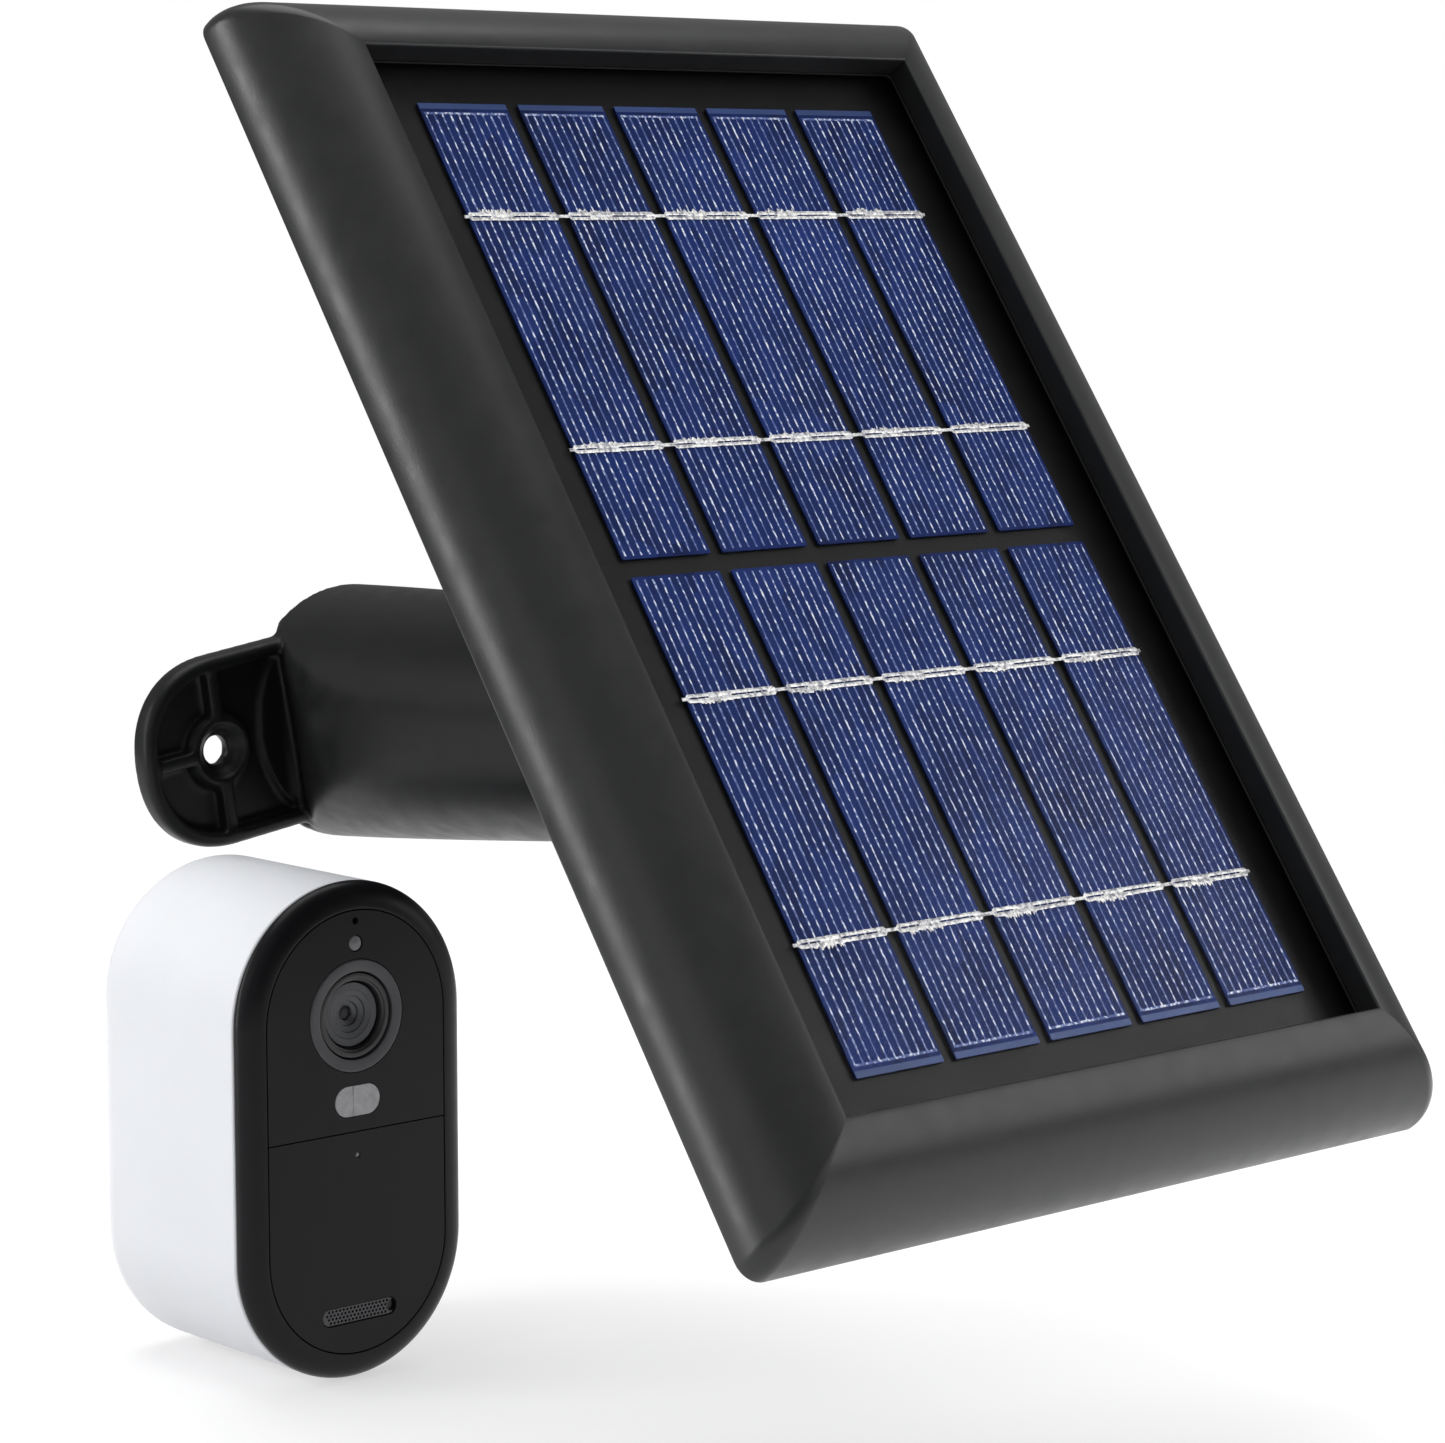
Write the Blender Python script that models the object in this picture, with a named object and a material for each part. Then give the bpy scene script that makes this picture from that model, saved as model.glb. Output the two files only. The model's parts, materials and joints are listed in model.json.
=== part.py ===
"""Solar panel on a swivelling wall arm, with a small battery camera that stands beside it.

Metres, +Z up. The wall is the plane Y = 0, the panel looks towards -Y, and the origin is the centre
of the wall plate's back face. Four sub-assemblies are built in local frames whose +Z points out
of the front and whose +Y points up: the wall plate, the arm, the panel and the camera unit.
"""

import math

import bmesh
import bpy
from mathutils import Matrix, Vector

MM = 0.001
GAP = 0.3  # clearance between neighbouring pieces

# Attitude
ARM_RISE = 3.45  # degrees that the arm climbs away from the wall
PLATE_TURN = 8.3  # degrees that the wall plate is turned about the arm
PANEL_TILT = 35.6  # degrees that the panel leans back from vertical
HINGE_REACH = 84.3  # wall to tilt axis, along the arm
LIP_STANDOFF = 57.3  # tilt axis to the panel's front lip, along its normal

# Wall plate and arm
PLATE_HALF_SPAN = 28.4  # centre to the centre of each round end
PLATE_END_R = 16.15
PLATE_POWER = 2.25  # 2 would make each end a half circle
RIM_TOP = 4.6
RIM_WIDTH = 2.4
RIM_ROUND = 1.5
FLOOR_TOP = 1.6
RIB_TOP = 4.3
RIB_WIDTH = 2.4
RIB_BASE = 0.6
RIB_END = 1.0  # short of the plate's outline
BOSS_TOP = 4.1
BOSS_R = 5.8
BOSS_FOOT_R = 6.45
BOSS_FOOT_TOP = 3.0
SCREW_REACH = 29.1  # centre to each wall screw hole
SCREW_HOLE = (  # radius and height: a 4.8 mm hole that widens to the screwdriver's way in
    (0, -1),
    (2.4, -1),
    (2.4, 1.9),
    (2.9, 2.3),
    (3.5, 2.3),
    (3.7, 3.2),
    (4.6, 3.4),
    (4.6, 9),
    (0, 9),
)
HOUSING_BASE_R = 21.65
HOUSING_END_R = 18.85
HOUSING_END = 71.5
HOUSING_POWER = 1.27  # 1 would make the taper straight
HOUSING_EDGE = 0.6
HOUSING_STEPS = 96
HOUSING_BELOW = (-2.0, 0.4)
HOUSING_LOW = (0.7, 2.4, 2.7, 3.2, 3.9, 4.9, 6.4, 7.6, 9.2, 11.5)
HOUSING_HIGH = (14.5, 18.0, 22.0, 27.0, 33.0, 40.0, 48.0, 56.0, 64.0, HOUSING_END - HOUSING_EDGE, HOUSING_END)
FOOT_R = 20.0
FOOT_BASE = 0.7
FOOT_TOP = 2.4
FOOT_EDGE = 0.4
CHANNEL_R = 200.0  # nearly flat
CHANNEL_HALF_ANGLE = (13.0, 36.0)  # degrees: far along the arm, and what is added at its start
CHANNEL_START = 4.0
CHANNEL_FADE = 9.0  # mm along the arm
CHANNEL_FILLET = 4.0
CHANNEL_BLEND = 3.5  # width of the rounding where a channel meets the housing's side
CORE_R = 10.5
CORE_START = 8.0
JOURNAL_BORE_R = 15.0
JOURNAL_START = 52.0
GROOVE_MIDDLE = 61.0
GROOVE_HALF = 2.4
GROOVE_DEPTH = 2.0
FRICTION_RING = (10.9, 14.6, 1.3)  # inner radius, outer radius, thickness
SET_SCREW_R = 2.0
SET_SCREW_ENDS = (13.0, 19.0)
NECK_SHOULDER = 72.3
NECK_TOP = 74.0
NECK_TOP_R = 12.5
KNUCKLE_R = 9.0
KNUCKLE_HALF = 7.0
EAR_THICKNESS = 5.0
BOLT_R = 2.9
BOLT_HOLE_R = 3.3

# Panel, measured from the lip plane backwards
FRAME_W = 140.0
FRAME_H = 205.0
BEZEL = 15.1
BEZEL_DROP = 14.8
BEZEL_POWER = 1.87
BEZEL_CORNER_R = 3.4
FRAME_WALL = 2.0
RECESS_WALL = 4.0
SHEET_TOP = 5.0
SHEET_THICK = 0.4
SHEET_LAP = 3.0
RIBBON_TOP = 5.6
RIBBON_THICK = 0.15
RIBBON_WIDTH = 1.8
CELL_TOP = 5.95
CELL_THICK = 0.3
CELL_COLUMNS = 5
ARRAY_AT = (1.8, 0.4)
ARRAY_W = 93.0
ARRAY_H = 162.0
COLUMN_GAP = 2.3
ROW_GAP = 3.0
RIBBON_LINES = (60.8, 20.3, -21.2, -60.2)
BOARD_TOP = 6.55
BOARD_THICK = 1.6
COVER_TOP = 15.6
COVER_FLANGE = 2.0
COVER_BACK = 25.0
COVER_WALL = 2.0
COVER_INSET = 3.2
COVER_SCREW_OFF = 6.6  # outwards from the recess edge
FRAME_POST_R = 2.9
FRAME_POST_LENGTH = 11.2
FRAME_PILOT_DEPTH = 8.4
PILOT_R = 1.5
HUB_HALF = 22.0
HUB_THICK = 4.0
HUB_SCREW_AT = 17.5
GLAND_DOWN = 60.0

# Camera unit, measured from the plane where its white shell meets the dark front
UNIT_AT = (-37.6, -48.67, -59.59)
UNIT_W = 43.5
UNIT_H = 80.2
UNIT_DEPTH = 38.5
UNIT_WALL = 2.2
UNIT_ROUND = 5.0
FACE_TOP = 3.1
FACE_INSET = 4.3
FACE_UNDER = 1.2
SEAM_Y = 0.2
LENS_Y = 18.8
LENS_RING_R = 9.0
LENS_WELL_R = 6.8
LENS_GLASS_R = 5.3
PIR_Y = 5.2
PIR_SIZE = (8.6, 4.8)
SENSOR_Y = 30.4
MICROPHONE_Y = 34.0
STATUS_Y = -3.6
GRILLE_Y = -29.2
GRILLE_SIZE = (14.2, 2.6)
BUTTON_Y = 22.0
BUTTON_R = 3.0
PORT_Y = -23.0
PORT_SIZE = (14.0, 8.0)
FLAP_THICK = 1.8
SOCKET_Y = -2.0
SOCKET_R = 3.2

ROUND_STEPS = 32
SMALL_STEPS = 14


def clear_scene():
    for old in list(bpy.data.objects):
        bpy.data.objects.remove(old, do_unlink=True)


def material(name, colour, roughness, metallic=0.0, alpha=1.0):
    found = bpy.data.materials.get(name)
    if found:
        return found
    made = bpy.data.materials.new(name)
    made.use_nodes = True
    shader = made.node_tree.nodes["Principled BSDF"]
    shader.inputs["Base Color"].default_value = (*colour, 1.0)
    shader.inputs["Roughness"].default_value = roughness
    shader.inputs["Metallic"].default_value = metallic
    shader.inputs["Alpha"].default_value = alpha
    return made


def charcoal():
    return material("charcoal_plastic", (0.045, 0.047, 0.050), 0.45)


def steel():
    return material("screw_steel", (0.55, 0.56, 0.58), 0.35, metallic=1.0)


def seal_rubber():
    return material("seal_rubber", (0.02, 0.02, 0.02), 0.8)


def circuit_board():
    return material("circuit_board", (0.02, 0.12, 0.05), 0.5)


# Mesh building. Outlines are lists of (x, y) and every size is in millimetres.


def local_frame(name, place, degrees_about_x, degrees_about_z=0.0, parent=None):
    """An empty whose +Z is the front of what is built in it and whose +Y is up."""
    empty = bpy.data.objects.new(name, None)
    bpy.context.scene.collection.objects.link(empty)
    turn = Matrix.Rotation(math.radians(degrees_about_x), 4, "X")
    spin = Matrix.Rotation(math.radians(degrees_about_z), 4, "Z")
    world = Matrix.Translation(Vector(place) * MM) @ turn @ spin
    if parent:
        empty.parent = parent
        world = parent.matrix_world.inverted() @ world
    empty.matrix_basis = world
    bpy.context.view_layer.update()
    return empty


def new_object(name, mesh_maker, frame, finish=None, at=(0, 0, 0), turned=(0, 0, 0)):
    """Links an object made by filling a bmesh, in millimetres, and places it in its frame."""
    shape = bmesh.new()
    mesh_maker(shape)
    bmesh.ops.recalc_face_normals(shape, faces=shape.faces)
    bmesh.ops.scale(shape, vec=(MM, MM, MM), verts=shape.verts)
    mesh = bpy.data.meshes.new(name)
    shape.to_mesh(mesh)
    shape.free()
    mesh.shade_smooth()
    mesh.set_sharp_from_angle(angle=math.radians(35))
    made = bpy.data.objects.new(name, mesh)
    bpy.context.scene.collection.objects.link(made)
    made.parent = frame
    made.location = Vector(at) * MM
    made.rotation_euler = [math.radians(angle) for angle in turned]
    if finish:
        mesh.materials.append(finish)
    else:
        made.hide_render = True
        made.display_type = "WIRE"
    return made


def lofted(loops, wrap=False):
    """Bridges loops of (x, y, z) points. Without wrap, the first and last loops are closed by faces."""

    def fill(shape):
        rings = [[shape.verts.new(point) for point in loop] for loop in loops]
        pairs = list(zip(rings, rings[1:]))
        if wrap:
            pairs.append((rings[-1], rings[0]))
        for lower, upper in pairs:
            count = len(lower)
            for i in range(count):
                j = (i + 1) % count
                shape.faces.new((lower[i], lower[j], upper[j], upper[i]))
        if not wrap:
            shape.faces.new(rings[0])
            shape.faces.new(rings[-1])

    return fill


def prism(outline, low, high):
    return lofted([[(x, y, z) for x, y in outline] for z in (low, high)])


def turned_shape(profile, steps=ROUND_STEPS):
    """Turns a closed profile of (radius, z) points about Z. One that starts on the axis gets flat ends."""
    solid = profile[0][0] == 0
    turns = [2 * math.pi * (i + 0.5) / steps for i in range(steps)]
    rings = []
    for radius, z in profile:
        if radius:
            rings.append([(radius * math.cos(a), radius * math.sin(a), z) for a in turns])
    return lofted(rings, wrap=not solid)


def cylinder(radius, low, high, steps=ROUND_STEPS):
    return turned_shape([(0, low), (radius, low), (radius, high), (0, high)], steps)


def rounded_rectangle(width, height, radius, steps=4):
    points = []
    centres = [(1, 1, 0), (-1, 1, 90), (-1, -1, 180), (1, -1, 270)]
    for side_x, side_y, start in centres:
        for i in range(steps + 1):
            angle = math.radians(start + 90 * i / steps)
            x = side_x * (width / 2 - radius) + radius * math.cos(angle)
            y = side_y * (height / 2 - radius) + radius * math.sin(angle)
            points.append((x, y))
    return points


def upright_stadium(width, height, steps=12):
    return rounded_rectangle(width, height, width / 2 - 0.001, steps)


def at_height(outline, z):
    return [(x, y, z) for x, y in outline]


def combine(target, operation, *others):
    for other in others:
        step = target.modifiers.new(f"{operation.lower()}_{other.name}", "BOOLEAN")
        step.operation = operation
        step.object = other


def join(target, *others):
    combine(target, "UNION", *others)


def cut(target, *others):
    combine(target, "DIFFERENCE", *others)


# Wall plate and arm


def plate_loop(inset, z):
    """The wall plate's outline. Its ends are slightly squarer than half circles."""
    radius = PLATE_END_R - inset
    points = []
    for side_x, side_y, start in ((1, 1, 0), (-1, 1, 90), (-1, -1, 180), (1, -1, 270)):
        for i in range(13):
            angle = math.radians(start + 7.5 * i)
            across = abs(math.cos(angle)) ** (2 / PLATE_POWER)
            up = abs(math.sin(angle)) ** (2 / PLATE_POWER)
            points.append((side_x * (PLATE_HALF_SPAN + radius * across), side_y * (0.001 + radius * up), z))
    return points


def build_wall_base(plate, arm):
    """One moulding: the wall plate with its rim, ribs and bosses, and the tapered arm housing."""
    rim_loops = [plate_loop(0.5, -1.0), plate_loop(0.5, 0.05), plate_loop(0, 0.8)]
    for degrees in (0, 30, 60, 90):
        angle = math.radians(degrees)
        inset = RIM_ROUND * (1 - math.cos(angle))
        rim_loops.append(plate_loop(inset, RIM_TOP - RIM_ROUND * (1 - math.sin(angle))))
    base = new_object("wall_base", lofted(rim_loops), plate, charcoal())
    pocket = [plate_loop(RIM_WIDTH + 0.3, FLOOR_TOP), plate_loop(RIM_WIDTH, RIM_TOP + 1)]
    cut(base, new_object("plate_pocket", lofted(pocket), plate))
    half_rib = RIB_WIDTH / 2
    long_rib = PLATE_HALF_SPAN + PLATE_END_R - RIB_END - SCREW_REACH
    short_rib = PLATE_END_R - RIB_END
    for side in (-1, 1):
        place = (side * SCREW_REACH, 0, 0)
        boss_foot = cylinder(BOSS_FOOT_R, RIB_BASE, BOSS_FOOT_TOP)
        boss = cylinder(BOSS_R, RIB_BASE - 0.1, BOSS_TOP)
        along = [(0, -half_rib), (side * long_rib, -half_rib), (side * long_rib, half_rib), (0, half_rib)]
        across = [(x, y) for x, y in corners(half_rib, short_rib)]
        join(
            base,
            new_object(f"boss_foot_{side}", boss_foot, plate, at=place),
            new_object(f"boss_{side}", boss, plate, at=place),
            new_object(f"rib_{side}", prism(along, RIB_BASE - 0.1, RIB_TOP), plate, at=place),
            new_object(f"cross_rib_{side}", prism(across, RIB_BASE - 0.15, RIB_TOP - 0.1), plate, at=place),
        )
    foot = [
        (0, FOOT_BASE),
        (FOOT_R, FOOT_BASE),
        (FOOT_R, FOOT_TOP - FOOT_EDGE),
        (FOOT_R - FOOT_EDGE, FOOT_TOP),
        (0, FOOT_TOP),
    ]
    join(base, new_object("foot", turned_shape(foot, HOUSING_STEPS), plate))
    sections = [housing_circle(along) for along in HOUSING_BELOW]
    sections += [housing_loop(along) for along in HOUSING_LOW + HOUSING_HIGH]
    join(base, new_object("housing", lofted(sections), arm))
    behind_wall = prism(rounded_rectangle(120, 80, 5, 2), -20, 0)
    cut(base, new_object("behind_wall", behind_wall, plate))
    for side in (-1, 1):
        hole = turned_shape(SCREW_HOLE, 24)
        cut(base, new_object(f"screw_hole_{side}", hole, plate, at=(side * SCREW_REACH, 0, 0)))
    core = [
        (0, CORE_START),
        (CORE_R, CORE_START),
        (CORE_R, JOURNAL_START),
        (JOURNAL_BORE_R, JOURNAL_START),
        (JOURNAL_BORE_R, HOUSING_END + 1),
        (0, HOUSING_END + 1),
    ]
    cut(base, new_object("arm_core", turned_shape(core), arm))
    screw_way = new_object(
        "set_screw_hole",
        cylinder(SET_SCREW_R + GAP, -HOUSING_BASE_R, -CORE_R, SMALL_STEPS),
        arm,
        at=(0, 0, GROOVE_MIDDLE),
        turned=(-90, 0, 0),
    )
    cut(base, screw_way)


def housing_radius(along):
    taper = (max(along, 0) / HOUSING_END) ** HOUSING_POWER
    edge = max(along - HOUSING_END + HOUSING_EDGE, 0)
    return HOUSING_BASE_R - (HOUSING_BASE_R - HOUSING_END_R) * taper - edge


def housing_point(radius, angle, along):
    turned = angle + math.radians(PLATE_TURN)
    return (radius * math.cos(turned), radius * math.sin(turned), along)


def housing_angles():
    return [2 * math.pi * (i + 0.5) / HOUSING_STEPS for i in range(HOUSING_STEPS)]


def housing_circle(along):
    return [housing_point(housing_radius(along), angle, along) for angle in housing_angles()]


def housing_loop(along):
    """One section of the arm housing. Two channels let a screwdriver reach the wall screws beside it."""
    wall = housing_radius(along)
    far, added = CHANNEL_HALF_ANGLE
    half_angle = math.radians(far + added * math.exp((CHANNEL_START - along) / CHANNEL_FADE))
    reach = wall * math.sin(half_angle)
    centre = wall * math.cos(half_angle) + math.sqrt(CHANNEL_R**2 - reach**2)
    fillet = min(max(FOOT_TOP + CHANNEL_FILLET - along, 0), CHANNEL_FILLET)
    centre += CHANNEL_FILLET - math.sqrt(CHANNEL_FILLET**2 - fillet**2)
    blend = min(CHANNEL_BLEND, 1.5 * (wall - centre + CHANNEL_R))
    points = []
    for angle in housing_angles():
        across = centre * abs(math.sin(angle))
        radius = wall
        if across < CHANNEL_R:
            channel = centre * abs(math.cos(angle)) - math.sqrt(CHANNEL_R**2 - across**2)
            radius = blended_least(wall, channel, blend)
        points.append(housing_point(radius, angle, along))
    return points


def blended_least(first, second, width):
    """The lesser of two lengths, rounded over where they are close."""
    nearness = max(width - abs(first - second), 0) / width
    return min(first, second) - nearness * nearness * width / 4


def knuckle_outline(half_width_at_base, base):
    """An ear's side view in (y, z): round about the tilt axis and square at its base."""
    points = [(-half_width_at_base, base), (half_width_at_base, base)]
    away = 1 if base < 0 else -1
    for i in range(13):
        angle = math.pi * i / 12
        points.append((KNUCKLE_R * math.cos(angle), away * KNUCKLE_R * math.sin(angle)))
    return points


def ear_shape(outline, low_x, high_x):
    return lofted([[(x, y, z) for y, z in outline] for x in (low_x, high_x)])


def build_swivel(arm, tilt_axis_on_arm):
    """The friction ring, the neck that turns in the arm and the bolt that the panel tilts on."""
    inner, outer, thick = FRICTION_RING
    low = JOURNAL_START + GAP
    ring = [(inner, low), (outer, low), (outer, low + thick), (inner, low + thick)]
    new_object("swivel_friction_ring", turned_shape(ring), arm, material("nylon", (0.6, 0.6, 0.56), 0.6))
    near, far = SET_SCREW_ENDS
    screw_r = SET_SCREW_R
    set_screw = [(0, -far), (0, -near), (screw_r - 0.6, -near), (screw_r, -near - 0.6), (screw_r, -far)]
    new_object(
        "swivel_set_screw",
        turned_shape(set_screw, SMALL_STEPS),
        arm,
        steel(),
        at=(0, 0, GROOVE_MIDDLE),
        turned=(-90, 0, 0),
    )
    journal = JOURNAL_BORE_R - GAP
    start = low + thick + GAP
    profile = [
        (0, start),
        (journal - 1, start),
        (journal, start + 1),
        (journal, GROOVE_MIDDLE - GROOVE_HALF),
        (journal - GROOVE_DEPTH, GROOVE_MIDDLE - GROOVE_HALF),
        (journal - GROOVE_DEPTH, GROOVE_MIDDLE + GROOVE_HALF),
        (journal, GROOVE_MIDDLE + GROOVE_HALF),
        (journal, NECK_SHOULDER),
        (journal - 0.6, NECK_SHOULDER + 0.9),
        (NECK_TOP_R, NECK_TOP),
        (0, NECK_TOP),
    ]
    neck = new_object("swivel_neck", turned_shape(profile), arm, charcoal())
    tongue = knuckle_outline(KNUCKLE_R, NECK_TOP - 3 - HINGE_REACH)
    join(neck, new_object("tongue", ear_shape(tongue, -KNUCKLE_HALF, KNUCKLE_HALF), tilt_axis_on_arm))
    cut(neck, across_x("tongue_hole", cylinder(BOLT_HOLE_R, -10, 10, SMALL_STEPS), tilt_axis_on_arm))
    ear_side = KNUCKLE_HALF + GAP + EAR_THICKNESS
    washer_out = ear_side + GAP + 1.2
    head = [
        (0, -washer_out - GAP - 4.0),
        (4.6, -washer_out - GAP - 4.0),
        (5.2, -washer_out - GAP - 3.2),
        (5.2, -washer_out - GAP),
        (BOLT_R, -washer_out - GAP),
        (BOLT_R, washer_out + 7.5),
        (0, washer_out + 7.5),
    ]
    across_x("tilt_bolt", turned_shape(head, SMALL_STEPS + 4), tilt_axis_on_arm, steel())
    for name, side in (("left", -1), ("right", 1)):
        ends = sorted((side * (ear_side + GAP), side * washer_out))
        washer = [(BOLT_HOLE_R, ends[0]), (7.0, ends[0]), (7.0, ends[1]), (BOLT_HOLE_R, ends[1])]
        across_x(f"tilt_washer_{name}", turned_shape(washer, 20), tilt_axis_on_arm, steel())
    nut_low = washer_out + GAP
    nut = across_x("tilt_nut", cylinder(5.8, nut_low, nut_low + 5.0, 6), tilt_axis_on_arm, steel())
    nut_hole = cylinder(BOLT_R + GAP, nut_low - 1, nut_low + 6, SMALL_STEPS + 4)
    cut(nut, across_x("nut_hole", nut_hole, tilt_axis_on_arm))


def across_x(name, shape, frame, finish=None):
    """A turned piece laid along the frame's X axis."""
    return new_object(name, shape, frame, finish, turned=(0, 90, 0))


# Solar panel, in a frame whose origin is on the tilt axis


def panel_z(behind_lip):
    return LIP_STANDOFF - behind_lip


def frame_loop(off, behind, corner):
    width = FRAME_W - 2 * BEZEL + 2 * off
    height = FRAME_H - 2 * BEZEL + 2 * off
    return at_height(rounded_rectangle(width, height, max(corner, 0.05), 3), panel_z(behind))


def bezel_curve(start, width, drop, steps, outwards=True):
    """(off, behind) points of the bulging bezel, from its lip to its outer edge."""
    points = []
    for i in range(steps + 1):
        angle = 0.5 * math.pi * i / steps
        off = start + width * math.sin(angle) ** (2 / BEZEL_POWER)
        rise = drop * math.cos(angle) ** (2 / BEZEL_POWER)
        points.append((off, BEZEL_DROP - rise))
    return points if outwards else points[::-1]


def build_front_frame(panel):
    profile = [(0.0, 0.5)] + bezel_curve(0.3, BEZEL - 0.3, BEZEL_DROP, 10)
    profile += [(BEZEL, COVER_TOP - GAP), (BEZEL - FRAME_WALL, COVER_TOP - GAP)]
    profile += bezel_curve(FRAME_WALL, BEZEL - 2 * FRAME_WALL, BEZEL_DROP - FRAME_WALL, 6, outwards=False)
    profile += [(FRAME_WALL, RECESS_WALL), (0.0, RECESS_WALL)]
    loops = [frame_loop(off, behind, BEZEL_CORNER_R * off / BEZEL) for off, behind in profile]
    frame = new_object("front_frame", lofted(loops, wrap=True), panel, charcoal())
    for index, (x, y) in enumerate(corners(*cover_screw_spots())):
        place = (x, y, panel_z(COVER_TOP - GAP))
        post = cylinder(FRAME_POST_R, 0, FRAME_POST_LENGTH, 12)
        pilot = cylinder(PILOT_R, -1, FRAME_PILOT_DEPTH, 10)
        join(frame, new_object(f"frame_post_{index}", post, panel, at=place))
        cut(frame, new_object(f"frame_pilot_{index}", pilot, panel, at=place))


def corners(x, y):
    return [(x, y), (-x, y), (-x, -y), (x, -y)]


def cover_screw_spots():
    return FRAME_W / 2 - BEZEL + COVER_SCREW_OFF, FRAME_H / 2 - BEZEL + COVER_SCREW_OFF


def build_laminate(panel):
    """The seal, the clear sheet, the cells with their ribbons and the board behind them."""
    low, high = RECESS_WALL + GAP, SHEET_TOP - GAP
    section = ((0.2, low), (1.8, low), (1.8, high), (0.2, high))
    seal = lofted([frame_loop(off, behind, 1.0) for off, behind in section], wrap=True)
    new_object("laminate_seal", seal, panel, seal_rubber())
    width = FRAME_W - 2 * BEZEL + 2 * SHEET_LAP
    height = FRAME_H - 2 * BEZEL + 2 * SHEET_LAP
    sheet = rounded_rectangle(width, height, 2.0, 3)
    clear = material("clear_sheet", (0.9, 0.93, 0.95), 0.08, alpha=0.2)
    new_object("cover_sheet", slab(sheet, SHEET_TOP, SHEET_THICK), panel, clear)
    silver = material("tabbing_ribbon", (0.8, 0.8, 0.8), 0.3, metallic=1.0)
    for number, y in enumerate(RIBBON_LINES, 1):
        strip = rounded_rectangle(ARRAY_W + 1.6, RIBBON_WIDTH, 0.3, 1)
        ribbon = slab(strip, RIBBON_TOP, RIBBON_THICK)
        new_object(f"tabbing_ribbon_{number}", ribbon, panel, silver, at=(ARRAY_AT[0], y, 0))
    cell_w = (ARRAY_W - (CELL_COLUMNS - 1) * COLUMN_GAP) / CELL_COLUMNS
    cell_h = (ARRAY_H - ROW_GAP) / 2
    silicon = material("solar_cell", (0.012, 0.028, 0.13), 0.25)
    cell = slab(rounded_rectangle(cell_w, cell_h, 0.2, 1), CELL_TOP, CELL_THICK)
    for row, side in enumerate((1, -1)):
        for column in range(CELL_COLUMNS):
            x = ARRAY_AT[0] + (column - (CELL_COLUMNS - 1) / 2) * (cell_w + COLUMN_GAP)
            y = ARRAY_AT[1] + side * (cell_h + ROW_GAP) / 2
            number = row * CELL_COLUMNS + column + 1
            new_object(f"solar_cell_{number:02d}", cell, panel, silicon, at=(x, y, 0))
    backing = material("cell_backing", (0.012, 0.012, 0.013), 0.3)
    new_object("cell_backing_board", slab(sheet, BOARD_TOP, BOARD_THICK), panel, backing)


def slab(outline, behind, thickness):
    return prism(outline, panel_z(behind + thickness), panel_z(behind))


def build_back_cover(panel):
    steps = [
        (15.4, COVER_BACK - COVER_WALL),
        (13.2, COVER_TOP),
        (COVER_INSET, COVER_TOP),
        (COVER_INSET, COVER_TOP + COVER_FLANGE),
        (11.2, COVER_TOP + COVER_FLANGE),
        (13.8, COVER_BACK - 0.7),
        (14.5, COVER_BACK),
    ]
    loops = [frame_loop(BEZEL - inset, behind, 5.0) for inset, behind in steps]
    cover = new_object("back_cover", lofted(loops), panel, charcoal())
    for index, (x, y) in enumerate(corners(*cover_screw_spots())):
        hole = cylinder(PILOT_R, panel_z(COVER_BACK), panel_z(COVER_TOP - 2), 10)
        cut(cover, new_object(f"cover_hole_{index}", hole, panel, at=(x, y, 0)))
        build_screw(f"cover_screw_{index + 1}", panel, (x, y, panel_z(COVER_TOP + COVER_FLANGE + GAP)), 9.0)
    for index, (x, y) in enumerate(corners(HUB_SCREW_AT, HUB_SCREW_AT)):
        post = cylinder(3.4, panel_z(COVER_BACK - 1), panel_z(COVER_BACK - 7.4), 12)
        pilot = cylinder(PILOT_R, panel_z(COVER_BACK + 1), panel_z(COVER_BACK - 6.4), 10)
        join(cover, new_object(f"hub_post_{index}", post, panel, at=(x, y, 0)))
        cut(cover, new_object(f"hub_pilot_{index}", pilot, panel, at=(x, y, 0)))
    gland_at = (0, -GLAND_DOWN, 0)
    way = cylinder(5.3, panel_z(COVER_BACK + 1), panel_z(COVER_BACK - 5), 24)
    cut(cover, new_object("gland_way", way, panel, at=gland_at))
    back = panel_z(COVER_BACK)
    gland = [
        (2.7, back + 3.5),
        (5.0, back + 3.5),
        (5.0, back - GAP),
        (8.0, back - GAP),
        (8.0, back - 2.8),
        (5.6, back - 3.6),
        (4.6, back - 10.0),
        (2.7, back - 10.0),
    ]
    rubber = material("gland_rubber", (0.02, 0.02, 0.02), 0.7)
    new_object("cable_gland", turned_shape(gland, 24), panel, rubber, at=gland_at)
    board = slab(rounded_rectangle(46, 26, 1.0, 1), 17.6, 1.6)
    new_object("charge_board", board, panel, circuit_board(), at=(0, -34, 0))


def build_screw(name, frame, at, length):
    """A pan-head screw that points along +Z, with its head's seat at the given place."""
    head = [(0, -1.8), (1.8, -1.8), (2.5, -1.0), (2.5, 0)]
    profile = head + [(1.2, 0), (1.2, length - 1), (0.4, length), (0, length)]
    new_object(name, turned_shape(profile, SMALL_STEPS), frame, steel(), at=at)


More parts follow.
